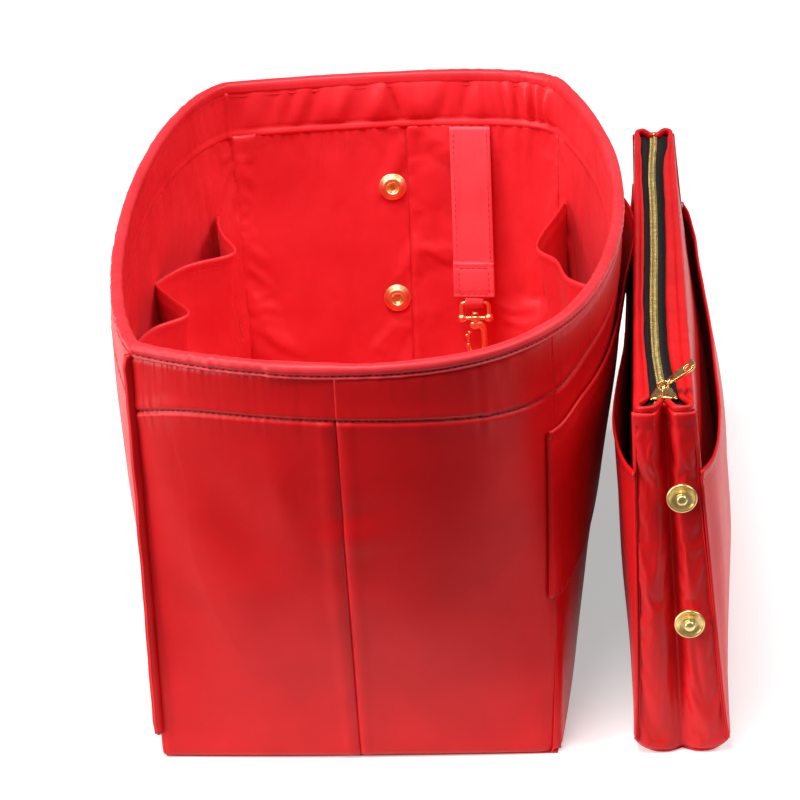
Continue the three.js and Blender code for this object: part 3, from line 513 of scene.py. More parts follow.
class Graph:
    """A material and its nodes."""

    def __init__(self, name: str) -> None:
        """Makes an empty material.

        Args:
            name: the material's name.
        """
        self.material = bpy.data.materials.new(name)
        self.material.use_nodes = True
        self.tree = self.material.node_tree
        self.tree.nodes.clear()
        self.shader = self.add("ShaderNodeBsdfPrincipled")
        self.output = self.add("ShaderNodeOutputMaterial")
        self.join(self.shader, "BSDF", self.output, "Surface")

    def add(self, kind: str, **settings) -> bpy.types.Node:
        """Adds a node.

        Args:
            kind: the node's type.
            **settings: its properties, or the values of its sockets with _ for a space.

        Returns:
            The node.
        """
        node = self.tree.nodes.new(kind)
        for key, value in settings.items():
            if hasattr(node, key):
                setattr(node, key, value)
            else:
                node.inputs[key.replace("_", " ")].default_value = value
        return node

    def join(self, start: bpy.types.Node, out: str | int, end: bpy.types.Node, into: str | int) -> None:
        """Links one node's output to another's input."""
        self.tree.links.new(start.outputs[out], end.inputs[into])

    def settle(self, **values) -> None:
        """Sets the shader's own sockets, with _ for a space in their names."""
        for key, value in values.items():
            self.shader.inputs[key.replace("_", " ")].default_value = value

    def noise(self, scale: float, detail: float = 2.0, stretch: Colour = (1, 1, 1)) -> bpy.types.Node:
        """Adds noise on the piece's own coordinates.

        Args:
            scale: how many grains there are to a metre.
            detail: how many finer grains are laid over them.
            stretch: how the pattern is scaled along each axis.

        Returns:
            The noise node.
        """
        where = self.add("ShaderNodeTexCoord")
        mapping = self.add("ShaderNodeMapping", Scale=stretch)
        grain = self.add("ShaderNodeTexNoise", Scale=scale, Detail=detail)
        self.join(where, "Object", mapping, "Vector")
        self.join(mapping, "Vector", grain, "Vector")
        return grain

    def weave(self, pitch: float) -> bpy.types.Node:
        """Adds crossing threads on the cloth map.

        Args:
            pitch: the threads' spacing in millimetres.

        Returns:
            A node whose output 0 is the threads' height.
        """
        where = self.add("ShaderNodeTexCoord")
        threads = []
        for axis in ("X", "Y"):
            wave = self.add(
                "ShaderNodeTexWave", wave_type="BANDS", bands_direction=axis, wave_profile="SIN",
                Scale=0.314 / (pitch * MM), Distortion=0.4, Detail=1.0,
            )
            self.join(where, "UV", wave, "Vector")
            threads.append(wave)
        both = self.add("ShaderNodeMath", operation="MAXIMUM")
        self.join(threads[0], "Fac", both, 0)
        self.join(threads[1], "Fac", both, 1)
        return both

    def colours(self, source: bpy.types.Node, stops: Sequence[tuple[float, Colour]]) -> None:
        """Colours the shader by a node's output.

        Args:
            source: the node whose Fac output picks the colour.
            stops: places from 0 to 1 and their colours.
        """
        scale = self.add("ShaderNodeValToRGB")
        elements = scale.color_ramp.elements
        for index, (place, colour) in enumerate(stops):
            element = elements[index] if index < 2 else elements.new(place)
            element.position, element.color = place, (*colour, 1)
        self.join(source, "Fac", scale, "Fac")
        self.join(scale, "Color", self.shader, "Base Color")

    def roughen(self, source: bpy.types.Node, low: float, high: float) -> None:
        """Lets a node's Fac output vary the shader's roughness between two values."""
        span = self.add("ShaderNodeMapRange", To_Min=low, To_Max=high)
        self.join(source, "Fac", span, "Value")
        self.join(span, "Result", self.shader, "Roughness")

    def raise_by(self, *layers: tuple[bpy.types.Node, str | int, float, float]) -> None:
        """Raises the surface.

        Args:
            *layers: a node, its output, the strength and the height in millimetres of each layer.
        """
        last = None
        for source, output, strength, height in layers:
            bump = self.add("ShaderNodeBump", Strength=strength, Distance=height * MM)
            self.join(source, output, bump, "Height")
            if last is not None:
                self.join(last, "Normal", bump, "Normal")
            last = bump
        self.join(last, "Normal", self.shader, "Normal")


@dataclass(frozen=True)
class Finish:
    """What a surface looks like, between a deep and a bright colour."""

    name: str
    deep: Colour
    bright: Colour

    def material(self) -> bpy.types.Material:
        """Returns the finish's material, made once."""
        made = bpy.data.materials.get(self.name)
        if made is None:
            graph = Graph(self.name)
            self.dress(graph)
            made = graph.material
        return made

    def dress(self, graph: Graph) -> None:
        """Lays out the material's nodes. Each kind of finish does this in its own way."""
        raise NotImplementedError


@dataclass(frozen=True)
class Satin(Finish):
    """Glossy woven satin, red, with a soft sheen."""

    name: str = "satin_outside"
    deep: Colour = (0.62, 0.0045, 0.0065)
    bright: Colour = (0.72, 0.007, 0.010)
    roughness: float = 0.40
    sheen: float = 0.01
    gloss: float = 0.95
    thread: float = 0.55
    crease: float = 0.12

    def dress(self, graph: Graph) -> None:
        """Lays out the sheen, the mottling, the creases and the threads."""
        graph.settle(
            Sheen_Weight=self.sheen, Sheen_Roughness=0.35, Sheen_Tint=(1.0, 0.45, 0.48, 1),
            Anisotropic=0.4, IOR=1.25, Specular_IOR_Level=self.gloss,
        )
        graph.colours(graph.noise(45, 3), [(0.3, self.deep), (0.7, self.bright)])
        graph.roughen(graph.noise(160, 2), self.roughness - 0.05, self.roughness + 0.07)
        graph.raise_by(
            (graph.noise(95, 3, (1, 1, 0.7)), "Fac", 0.5, self.crease),
            (graph.weave(self.thread), 0, 0.25, 0.03),
        )


@dataclass(frozen=True)
class Felt(Finish):
    """Pressed felt, the hidden stiffening of the walls."""

    name: str = "stiffening_felt"
    deep: Colour = (0.30, 0.012, 0.016)
    bright: Colour = (0.42, 0.03, 0.035)

    def dress(self, graph: Graph) -> None:
        """Lays out the felt, all of whose unevenness comes from its fibres."""
        graph.settle(Roughness=0.92, Sheen_Weight=0.4, Sheen_Roughness=0.6, Specular_IOR_Level=0.2)
        fibres = graph.noise(900, 5)
        graph.colours(fibres, [(0.3, self.deep), (0.75, self.bright)])
        graph.raise_by((fibres, "Fac", 0.8, 0.25))


@dataclass(frozen=True)
class ZipTape(Finish):
    """Charcoal woven tape."""

    name: str = "zip_tape_weave"
    deep: Colour = (0.007, 0.006, 0.006)
    bright: Colour = (0.020, 0.017, 0.017)

    def dress(self, graph: Graph) -> None:
        """Lays out the dull tape and its coarse weave."""
        graph.settle(Roughness=0.75, Sheen_Weight=0.04, Sheen_Roughness=0.5, Specular_IOR_Level=0.12)
        graph.colours(graph.noise(700, 3), [(0.3, self.deep), (0.7, self.bright)])
        graph.raise_by((graph.weave(0.6), 0, 0.8, 0.12))


@dataclass(frozen=True)
class Gold(Finish):
    """Polished yellow metal with fine handling marks."""

    name: str = "polished_gold"
    deep: Colour = (0.70, 0.43, 0.12)
    bright: Colour = (0.93, 0.68, 0.28)
    roughness: float = 0.14

    def dress(self, graph: Graph) -> None:
        """Lays out the metal and its fine scratches."""
        graph.settle(Metallic=1.0, Specular_IOR_Level=0.6)
        graph.colours(graph.noise(400, 2), [(0.3, self.deep), (0.65, self.bright)])
        scratches = graph.noise(1400, 4, (1, 0.25, 1))
        graph.roughen(scratches, self.roughness - 0.05, self.roughness + 0.12)
        graph.raise_by((scratches, "Fac", 0.12, 0.03))


@dataclass(frozen=True)
class Thread(Finish):
    """Sewing thread with a twist."""

    name: str = "thread_with_painted_shade"
    # The default colours are a dark red, far darker than the satin: painted shade for the shadow in the
    # sunk stitch lines and needle holes.
    deep: Colour = (0.10, 0.001, 0.003)
    bright: Colour = (0.22, 0.003, 0.006)

    def dress(self, graph: Graph) -> None:
        """Lays out the thread and its twist."""
        graph.settle(Roughness=0.5, Sheen_Weight=0.2, Specular_IOR_Level=0.4)
        twist = graph.noise(2600, 1, (1, 1, 0.5))
        graph.colours(twist, [(0.35, self.deep), (0.65, self.bright)])
        graph.raise_by((twist, "Fac", 0.5, 0.08))


SATIN = Satin()
SOFT_SATIN = Satin(
    name="satin_lining", deep=(0.78, 0.020, 0.028), bright=(0.88, 0.034, 0.045), roughness=0.4,
    sheen=0.05, gloss=1.0, crease=0.3,
)
# The binding's satin is a pinker, brighter copy of the wall satin: painted sheen for the pink highlight
# along the top of the rolled binding.
BINDING_SATIN_PAINTED_SHEEN = Satin(
    name="satin_binding_painted_sheen", deep=(0.70, 0.020, 0.028), bright=(0.82, 0.034, 0.046),
    roughness=0.42, sheen=0.05, gloss=1.0, crease=0.12,
)
STRAP_SATIN = Satin(
    name="satin_strap", deep=(0.86, 0.060, 0.080), bright=(0.94, 0.088, 0.112), roughness=0.42,
    sheen=0.05, gloss=1.0, crease=0.3,
)
FELT = Felt()
ZIP_TAPE = ZipTape()
GOLD = Gold()
SNAP_GOLD = Gold(name="snap_gold", deep=(0.64, 0.47, 0.16), bright=(0.90, 0.71, 0.32), roughness=0.28)
CLASP_GOLD = Gold(name="clasp_gold", deep=(0.90, 0.66, 0.26), bright=(1.0, 0.84, 0.44), roughness=0.36)
TEETH_GOLD = Gold(name="zip_teeth_gold", deep=(0.30, 0.22, 0.07), bright=(0.52, 0.40, 0.15), roughness=0.3)
# The outer stitches' thread, darkened with painted shade.
SHADE_PAINTED_THREAD = Thread()
SOFT_THREAD = Thread(name="lining_thread", deep=(0.66, 0.022, 0.032), bright=(0.82, 0.040, 0.055))


class Piece:
    """A finished piece: a mesh with its finish, on the body that carries it."""

    def __init__(
        self, mesh: bpy.types.Mesh, finish: Finish, body: Body, slot: Slot, nodes: Sequence[str] = ()
    ) -> None:
        """Makes the object.

        Args:
            mesh: its mesh, in place. The piece takes the mesh's name.
            finish: what gives its material.
            body: the body that it rides on.
            slot: the record's slot for its finish; not used.
            nodes: the CAD nodes that it stands for.
        """
        self.object = bpy.data.objects.new(mesh.name, mesh)
        bpy.context.scene.collection.objects.link(self.object)
        mesh.materials.clear()
        mesh.materials.append(finish.material())
        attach(self.object, body.value)
        if nodes:
            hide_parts(*nodes)
        LOG.info("%s: %d faces on %s", self.object.name, len(mesh.polygons), body.value)

    def thicken(self, thickness: float) -> "Piece":
        """Gives a sheet its thickness, behind its face, in millimetres."""
        solid = self.object.modifiers.new("thickness", "SOLIDIFY")
        solid.thickness, solid.offset, solid.use_rim = thickness * MM, -1, True
        return self

    def as_sheet(
        self, flat: tuple[float, float], held: str, rests_on: Sequence[str] = (), area: float | None = None
    ) -> "Piece":
        """Args:
            flat: the cut's size in millimetres; not used.
            held: how it is held; not used.
            rests_on: what carries it; not used.
            area: the cloth's area in square millimetres, where some of the cut lies sewn in and unseen;
                not used.

        Returns:
            The piece.
        """
        return self

    def as_padding(self, fill: float) -> "Piece":
        return self


@dataclass
class Stitching:
    """Runs of small stitches along lines on the cloth."""

    length: float = 1.8
    gap: float = 0.6
    thickness: float = 0.55

    def sew(
        self, name: str, lines: Sequence[tuple[Array, Array]], body: Body, slot: Slot = Slot.SATIN
    ) -> None:
        """Sews stitches along lines.

        Args:
            name: the piece's name.
            lines: points in millimetres and the ways that the cloth faces there, of each line.
            body: the body that carries them.
            slot: the slot of their finish.
        """
        work = bmesh.new()
        bmesh.ops.create_uvsphere(work, u_segments=6, v_segments=4, radius=0.5 * MM)
        bmesh.ops.rotate(work, matrix=Matrix.Rotation(math.pi / 2, 3, "Y"), verts=work.verts)
        bmesh.ops.scale(work, vec=(self.length, self.thickness, self.thickness * 0.7), verts=work.verts)
        copies = Copies(mesh_from("stitch", work))
        pitch = self.length + self.gap
        for points, normals in lines:
            run = run_of(points)
            for middle in np.arange(pitch / 2, run[-1] - pitch / 4, pitch):
                start = read_along(run, points, middle - self.length / 2)
                end = read_along(run, points, middle + self.length / 2)
                copies.add((start + end) / 2, end - start, read_along(run, normals, middle))
        # Outer stitches take the dark thread, whose colour is painted shade for their sunk lines; lining
        # stitches take lining-red thread.
        Piece(copies.mesh(name), SOFT_THREAD if slot is Slot.LINING else SHADE_PAINTED_THREAD, body, slot)


# The organizer's form

BASE_PLAN = {
    Side.NEAR: [(-1, -1), (-0.45, -1.01), (0.09, -1.01), (1, -1)],
    Side.RIGHT: [(1, -1), (1.06, -0.5), (1.06, 0.5), (1, 1)],
    Side.FAR: [(1, 1), (0.53, 1.01), (0.05, 1.01), (-1, 1)],
    Side.LEFT: [(-1, 1), (-1.08, 0.5), (-1.08, -0.5), (-1, -1)],
}
RIM_PLAN = {
    Side.NEAR: [(-1.007, -0.94), (-0.94, -0.985), (0.46, -1.34), (1.015, -0.868)],
    Side.RIGHT: [(1.015, -0.868), (1.345, -0.633), (1.536, 0.207), (0.967, 0.973)],
    Side.FAR: [(0.967, 0.973), (0.85, 1.187), (-0.132, 1.133), (-1.033, 1.053)],
    Side.LEFT: [(-1.033, 1.053), (-1.483, 0.853), (-1.364, -0.567), (-1.007, -0.94)],
}
BELLY = {Side.NEAR: 0.0, Side.RIGHT: -0.12, Side.FAR: 0.0, Side.LEFT: 0.45}
SEAM_SHARE = {Side.NEAR: 0.57, Side.FAR: 0.61}
SIDES = list(Side)


@dataclass(frozen=True)
class WallForm:
    """The smooth form of the organizer's four walls, in millimetres."""

    length: float = 300.0
    width: float = 151.0
    height: float = 168.0

    def plan(self, side: Side, u: Array, v: Array) -> Array:
        """Reads a wall's outside in plan.

        Args:
            side: which wall.
            u: shares along it.
            v: shares up it.

        Returns:
            Points in millimetres.
        """
        u, v = np.broadcast_arrays(np.asarray(u, float), np.asarray(v, float))
        weights = [(1 - u) ** 3, 3 * (1 - u) ** 2 * u, 3 * (1 - u) * u**2, u**3]
        half = np.array([self.width / 2, self.length / 2])
        base, rim = (
            sum(weight[..., None] * np.array(point) * half for weight, point in zip(weights, plan[side]))
            for plan in (BASE_PLAN, RIM_PLAN)
        )
        rise = np.sin(math.pi / 2 * v) + BELLY[side] * np.sin(math.pi * u) * np.sin(math.pi * v)
        return lerp(base, rim, rise[..., None])

    def along(self, side: Side, u: Array, v: Array) -> Array:
        """Returns how fast a wall's plan runs on with its share, in millimetres."""
        step = 0.002
        low = np.clip(u - step / 2, 0, 1 - step)
        return (self.plan(side, low + step, v) - self.plan(side, low, v)) / step

    def outward(self, side: Side, u: Array, v: Array) -> Array:
        """Returns the level way out of a wall."""
        way = unit(self.along(side, u, v))
        return np.stack([way[..., 1], -way[..., 0]], axis=-1)

    def mitre(self, side: Side, v: Array) -> tuple[Array, Array]:
        """Finds how much a wall shortens at its two corners with depth.

        Args:
            side: which wall.
            v: shares up it.

        Returns:
            The shares of the wall that each millimetre of depth takes off at its start and its end.
        """
        place = SIDES.index(side)
        trims = []
        for this, that, here, there in (
            (side, SIDES[place - 1], 0.0, 1.0), (side, SIDES[(place + 1) % 4], 1.0, 0.0),
        ):
            mine = self.along(this, np.full_like(v, here), v)
            other = unit(self.along(that, np.full_like(v, there), v))
            turn = np.arccos(np.clip((unit(mine) * other).sum(-1), -1, 1))
            trims.append(np.tan(turn / 2) / np.linalg.norm(mine, axis=-1))
        return trims[0], trims[1]

    def share(self, side: Side, s: Array, v: Array, depth: Array) -> Array:
        """Returns shares of the wall for shares of the wall as it is at a depth, between its mitres."""
        start, end = self.mitre(side, v)
        return lerp(start * depth, 1 - end * depth, s)

    def point(self, side: Side, u: Array, z: Array, depth: Array) -> Array:
        """Reads a point in a wall.

        Args:
            side: which wall.
            u: shares along it.
            z: heights in millimetres.
            depth: depths in from the wall's outside, in millimetres.

        Returns:
            Points in millimetres.
        """
        u, z, depth = np.broadcast_arrays(*(np.asarray(item, float) for item in (u, z, depth)))
        at = self.plan(side, u, z / self.height)
        at = at - self.outward(side, u, z / self.height) * depth[..., None]
        return columns_of(at[..., 0], at[..., 1], z)

    def across(self, side: Side, u: Array) -> Array:
        """Returns X at the foot of the near or the far wall, in millimetres."""
        half = self.width / 2
        return lerp(-half, half, u) if side is Side.NEAR else lerp(half, -half, u)

    def run(self, side: Side, z: float, span: tuple[float, float] = (0, 1)) -> float:
        """Returns a wall's length in millimetres at a height, between two shares of it."""
        line = self.plan(side, np.linspace(*span, 80), np.full(80, z / self.height))
        return float(np.linalg.norm(np.diff(line, axis=0), axis=1).sum())

    def share_at(self, side: Side, z: Array, axis: int, value: Array, depth: float = 0.0) -> Array:
        """Finds the share of a wall that lies at a value of X or Y.

        Args:
            side: which wall.
            z: heights in millimetres.
            axis: 0 for X or 1 for Y.
            value: the values in millimetres.
            depth: the depth in the wall.

        Returns:
            Shares along the wall.
        """
        z, value = np.broadcast_arrays(np.asarray(z, float), np.asarray(value, float))
        low, high = np.zeros_like(z), np.ones_like(z)
        rising = self.point(side, high, z, depth)[..., axis] > self.point(side, low, z, depth)[..., axis]
        for _ in range(24):
            middle = (low + high) / 2
            below = (self.point(side, middle, z, depth)[..., axis] < value) == rising
            low, high = np.where(below, middle, low), np.where(below, high, middle)
        return (low + high) / 2

    def normal(self, side: Side, u: float, z: float) -> Array:
        """Returns the way out of a wall, with its slope."""
        u, z = np.asarray(u, float), np.asarray(z, float)
        up = self.point(side, u, z + 1, 0) - self.point(side, u, z - 1, 0)
        along = self.along(side, u, z / self.height)
        return unit(np.cross(np.append(along, 0), up))


FORM = WallForm()


@dataclass(frozen=True)
class Seams:
    """Heights of the sewn lines round the organizer, in millimetres."""

    hem: float = 145.0
    top_stitch: float = 162.6
    facing_low: float = 141.4
    binding_low: float = 161.7


SEAMS = Seams()
# Heights at which the runs of the layers are read, in millimetres
SHELL_RUN_AT, LINING_RUN_AT, POCKET_RUN_AT, RIM_RUN_AT = 120, 100, 110, 160


def wall_panels(layer: str) -> list[tuple[str, Side, tuple[float, float]]]:
    """Returns the name, the wall and the span of shares of each of a layer's six panels."""
    panels = [(f"{side.value}_side_{layer}", side, (0, 1)) for side in (Side.LEFT, Side.RIGHT)]
    for side, hands in ((Side.NEAR, ("left", "right")), (Side.FAR, ("right", "left"))):
        seam = SEAM_SHARE[side]
        for hand, span in zip(hands, ((0, seam), (seam, 1))):
            panels.append((f"{side.value}_end_{layer}_{hand}", side, span))
    return panels


def hem_height(side: Side, u: Array) -> Array:
    """Returns the height of the hem's line, which drops towards the two near corners."""
    drop = 0 * u
    if side is Side.NEAR:
        drop = 5.3 * hump(u, 0, 0.2) + 5.2 * hump(u, 0.95, 0.2)
    elif side is Side.RIGHT:
        drop = 4.9 * hump(u, 0, 0.14)
    elif side is Side.LEFT:
        drop = 5.3 * hump(u, 1, 0.12)
    return SEAMS.hem - drop


@dataclass
class Relief:
    """The small ups and downs of a wall's cloth, in millimetres out from its plain form."""

    seed: int
    swell: float = 0.9
    pucker: float = 0.6

    def __post_init__(self) -> None:
        """Lays out the ripples."""
        self.broad, self.fine, self.folds = (Ripple(self.seed * 7 + extra) for extra in range(3))

    def gathered(self, x: Array, z: Array, line: float, reach: float) -> Array:
        """Returns the short puckers that a sewn line draws up on both sides of it."""
        drawn = self.fine(x / 3.6, z / 60) + 0.5 * self.fine(x / 2.1 + 9, z / 40)
        patches = ramp(self.folds(x / 55, line / 9), -0.25, 0.3)
        return self.pucker * drawn * patches * np.exp(-np.abs(z - line) / reach)

    def broad_folds(self, x: Array, z: Array) -> Array:
        """Returns wide, soft swells."""
        return self.swell * (self.broad(x / 62, z / 75) + 0.35 * self.broad(x / 24 + 5, z / 46 + 3))


@dataclass(frozen=True)
class Fold:
    """A soft fold of the cloth along a straight line on a wall, in millimetres."""

    start: tuple[float, float]
    end: tuple[float, float]
    width: float
    height: float

    def at(self, x: Array, z: Array) -> Array:
        """Returns how far the fold raises the cloth."""
        start, line = np.array(self.start), np.array(self.end) - np.array(self.start)
        share = ((x - start[0]) * line[0] + (z - start[1]) * line[1]) / (line @ line)
        held = np.clip(share, 0, 1)
        off = np.hypot(x - start[0] - held * line[0], z - start[1] - held * line[1])
        fade = 0.35 + 0.65 * np.sin(math.pi * held)
        return self.height * fade * np.exp(-((off / self.width) ** 2))


NEAR_FOLDS = (
    Fold((-8, 130), (-6, 98), 5, 0.7),
    Fold((3, 103), (22, 109), 4.5, -0.45),
    Fold((4, 93), (24, 99), 6.0, 0.45),
    Fold((-52, 118), (-28, 60), 12, 0.6),
    Fold((-30, 120), (-14, 84), 9, -0.6),
    Fold((22, 70), (60, 20), 14, 0.6),
)
FAR_LINING_FOLDS = (
    Fold((-12, 104), (-30, 84), 7, -3.6),
    Fold((-30, 84), (-44, 50), 7, -3.4),
    Fold((-22, 124), (-50, 98), 9, 2.6),
    Fold((-43, 114), (-42, 70), 6, 2.4),
    Fold((-57, 128), (-54, 40), 7, -3.6),
    Fold((-34, 54), (-18, 30), 8, 2.4),
    Fold((-18, 50), (-30, 20), 6, -2.4),
    Fold((5, 92), (8, 40), 4, 1.4),
    Fold((14, 128), (13, 78), 3.5, -3.6),
    Fold((17, 88), (15, 60), 4, -2.4),
    Fold((45, 136), (48, 66), 4.5, -4.2),
    Fold((56, 128), (58, 40), 6, 2.4),
)


@dataclass
class WallShells:
    """The satin outside of the walls, with its centre seams, corner seams and sewn lines."""

    thickness: float = 0.6
    pitch: float = 1.3
    near_pitch: float = 0.85
    low: float = 0.9
    high: float = 164.6

    def relief(self, side: Side, u: Array, z: Array) -> Array:
        """Returns how far the cloth stands out, in millimetres."""
        folds = Relief(11 + SIDES.index(side), swell=0.65 if side is Side.NEAR else 0.9)
        run = FORM.run(side, SHELL_RUN_AT)
        x = u * run
        hem = z - hem_height(side, u)
        out = folds.broad_folds(x, z) * np.sin(math.pi * np.clip(z / FORM.height, 0, 1)) ** 0.5
        out = out + folds.gathered(x, z, SEAMS.top_stitch, 6.5) + folds.gathered(x, hem, 0, 5.0)
        out = out - 1.0 * hump(hem, 0, 0.9) + 0.45 * hump(hem, 0, 4.5)
        out = out - 0.9 * hump(z, SEAMS.top_stitch, 1.4)
        if side is Side.NEAR:
            for fold in NEAR_FOLDS:
                out = out + fold.at(FORM.across(side, u), z)
            tight = np.sin(2 * math.pi * (x / 2.75 + 0.5 * folds.fine(x / 17, 1.0)))
            under = np.exp(-np.maximum(SEAMS.top_stitch - z, 0) / 3.6)
            under = under * ramp(u, 0.08, 0.16) * (1 - ramp(u, 0.48, 0.62))
            below = np.exp(-np.maximum(-hem, 0) / 3.2) * (hem < 0)
            below = below * ramp(u, 0.02, 0.1) * (1 - ramp(u, 0.5, 0.7))
            out = out + 0.26 * tight * under + 0.12 * tight * below
        out = np.maximum(out, -1.2)
        for end, share in enumerate((u, 1 - u)):
            edge = share * run
            if self.welted(side, end):
                out = out - 0.9 * hump(edge, 0, 1.3) + 0.25 * hump(edge, 4.5, 2.5)
            else:
                rounded = 2.9 * self.corner_turn(side, end, z)
                out = lerp(out, 0.0, hump(edge, 0, 6.0)) - rounded * hump(edge, 0, 3.6)
        out = out - 1.2 * np.exp(-((z / 1.6) ** 2))
        if side in SEAM_SHARE:
            off = (u - SEAM_SHARE[side]) * run + 0.8 * folds.broad(z / 34, 7)
            sewn = 1 - ramp(hem, -2.0, 0.5)
            groove = 0.5 * hump(off, 0, 0.8) - 0.25 * hump(off, 3.2, 1.9) - 0.45 * hump(off, -4.0, 2.6)
            out = out - sewn * groove
        return out

    def corner_turn(self, side: Side, end: int, z: Array) -> Array:
        """Returns how sharply the walls turn at a corner, from 0 for straight on to 1 for square."""
        index = SIDES.index(side)
        before, after = (SIDES[index - 1], side) if end == 0 else (side, SIDES[(index + 1) % len(SIDES)])
        first = FORM.outward(before, np.ones_like(z), z / FORM.height)
        second = FORM.outward(after, np.zeros_like(z), z / FORM.height)
        return np.clip(1 - (first[:, :2] * second[:, :2]).sum(axis=1), 0, 1)

    def welted(self, side: Side, end: int) -> bool:
        """Returns whether a welt is sewn into the corner at a wall's start, 0, or its end, 1."""
        return side is Side.LEFT or (side is Side.NEAR and end == 0) or (side is Side.FAR and end == 1)

    def surface(self, side: Side, u: Array, z: Array, sunk: float = 0.0) -> Array:
        """Returns points of the cloth, or of a line sunk into it, in millimetres."""
        return FORM.point(side, u, z, sunk - self.relief(side, u, z))

    def panel(self, name: str, side: Side, span: tuple[float, float]) -> None:
        """Makes one panel and dresses it.

        Args:
            name: the panel's name, which is its CAD node's with cloth_ before it.
            side: the wall.
            span: the shares of the wall from which and to which it runs.
        """
        run = FORM.run(side, SHELL_RUN_AT, span)
        tall = self.high - self.low
        pitch = self.near_pitch if side is Side.NEAR else self.pitch
        rows = levels(self.low, self.high, pitch, SEAMS.hem)
        steps = (int(run / pitch), len(rows) - 1)
        trim = 0.02 / FORM.run(side, SHELL_RUN_AT)
        start, end = (span[0] + trim, span[1] - trim)

        def place(s: Array, t: Array) -> Array:
            """Returns the panel's points, whose rows follow the hem."""
            u = lerp(start, end, s)
            z = picked(rows, t)
            z = z + (hem_height(side, u) - SEAMS.hem) * ramp(z, 60, 130) * (1 - ramp(z, 152, 165))
            under = 0.0 * u
            if span[0] == 0 and span[1] < 1:
                under = ramp(s, 1 - 3 / run, 1) * ramp(z - hem_height(side, u), 0.8, 2.2)
                u = u + under * 0.8 / FORM.run(side, SHELL_RUN_AT)
            return self.surface(side, u, z, sunk=0.1 * under)

        mesh = mapped_grid(f"cloth_{name}", steps, place, (run, tall))
        piece = Piece(mesh, SATIN, Body.ORGANIZER, Slot.SATIN, [name])
        piece.thicken(self.thickness).as_sheet((run, tall), "stretched", [f"{side.value}_padding"])

    def stitch_lines(self) -> None:
        """Sews the hem's line round the outside."""
        lines = []
        for side in SIDES:
            u = np.linspace(0.004, 0.996, 420)
            z = hem_height(side, u)
            points = self.surface(side, u, z, sunk=-0.15)
            normals = FORM.outward(side, u, z / FORM.height)
            lines.append((points, columns_of(normals[:, 0], normals[:, 1], 0 * u)))
        Stitching().sew("hem_stitches", lines, Body.ORGANIZER)

    def build(self) -> None:
        """Makes the six panels and their stitches."""
        for name, side, span in wall_panels("shell"):
            self.panel(name, side, span)
        self.stitch_lines()


@dataclass
class WallPadding:
    """The hidden felt in the walls."""

    outer: float = 1.8
    inner: float = 2.6
    pitch: float = 4.0
    low: float = 1.2
    high: float = 164.4
    trim: float = 8.0

    def build(self) -> None:
        """Makes the felt of each wall."""
        for side in SIDES:
            run = FORM.run(side, SHELL_RUN_AT)

            def place(s: Array, t: Array, side: Side = side) -> Array:
                """Returns the felt's outer points."""
                z = lerp(self.low, self.high, t)
                return FORM.point(side, FORM.share(side, s, z / FORM.height, self.trim), z, self.outer)

            steps = (int(run / self.pitch), int(163 / self.pitch))
            mesh = mapped_grid(f"{side.value}_padding", steps, place, (run, 163))
            middle = "side" if side in (Side.LEFT, Side.RIGHT) else "end"
            node = f"{side.value}_{middle}_stiffener"
            piece = Piece(mesh, FELT, Body.ORGANIZER, Slot.FELT, [node])
            piece.thicken(self.inner - self.outer).as_padding(0.9)


@dataclass
class Drape:
    """A cloth simulation that lets a sheet with sewn borders settle."""

    frames: int = 16
    quality: int = 5
    mass: float = 0.1
    slack: float = 0.03
    weight: float = 0.25
    stretching: float = 10.0
    shearing: float = 4.0
    bending: float = 0.02

    def settle(self, mesh: bpy.types.Mesh, held: Array, low: Array | float, high: float) -> None:
        """Lets a sheet settle, and moves its points along their normals by what that gives.

        Args:
            mesh: the sheet, which is changed.
            held: which of its points are sewn down.
            low: the lowest move in millimetres, for all points or for each.
            high: the highest move in millimetres.
        """
        scene = bpy.context.scene
        thing = bpy.data.objects.new("settling", mesh.copy())
        scene.collection.objects.link(thing)
        thing.vertex_groups.new(name="held").add([int(i) for i in np.flatnonzero(held)], 1.0, "REPLACE")
        cloth = thing.modifiers.new("cloth", "CLOTH")
        settings = cloth.settings
        settings.quality, settings.mass = self.quality, self.mass
        settings.vertex_group_mass = "held"
        settings.tension_stiffness = settings.compression_stiffness = self.stretching
        settings.shear_stiffness, settings.bending_stiffness = self.shearing, self.bending
        settings.shrink_min = -self.slack
        settings.effector_weights.gravity = self.weight
        cloth.collision_settings.use_collision = False
        cloth.point_cache.frame_start, cloth.point_cache.frame_end = 1, self.frames
        for frame_number in range(1, self.frames + 1):
            scene.frame_set(frame_number)
        settled = thing.evaluated_get(bpy.context.evaluated_depsgraph_get()).data
        before, after, normals = three_of(mesh), three_of(settled), three_of(mesh, "normal")
        move = np.clip(((after - before) * normals).sum(axis=1), low * MM, high * MM)
        mesh.vertices.foreach_set("co", (before + move[:, None] * normals).ravel())
        mesh.update()
        bpy.data.objects.remove(thing)
        scene.frame_set(1)
        LOG.info("settled %s: moves of %.2f to %.2f mm", mesh.name, move.min() / MM, move.max() / MM)


DRAPE = Drape()
FIRM_DRAPE = Drape(slack=0.007, bending=1.2)


SOCKET_LEVELS = {"upper": 114.5, "lower": 63.5}
SOCKET_ASIDE = {Side.NEAR: 6.5, Side.FAR: -6.5}


def off_socket(side: Side, u: Array, z: Array, level: float) -> Array:
    """Returns how far places on an end wall lie from its socket at a level, in millimetres."""
    return np.hypot(FORM.across(side, u) - SOCKET_ASIDE[side], z - level)


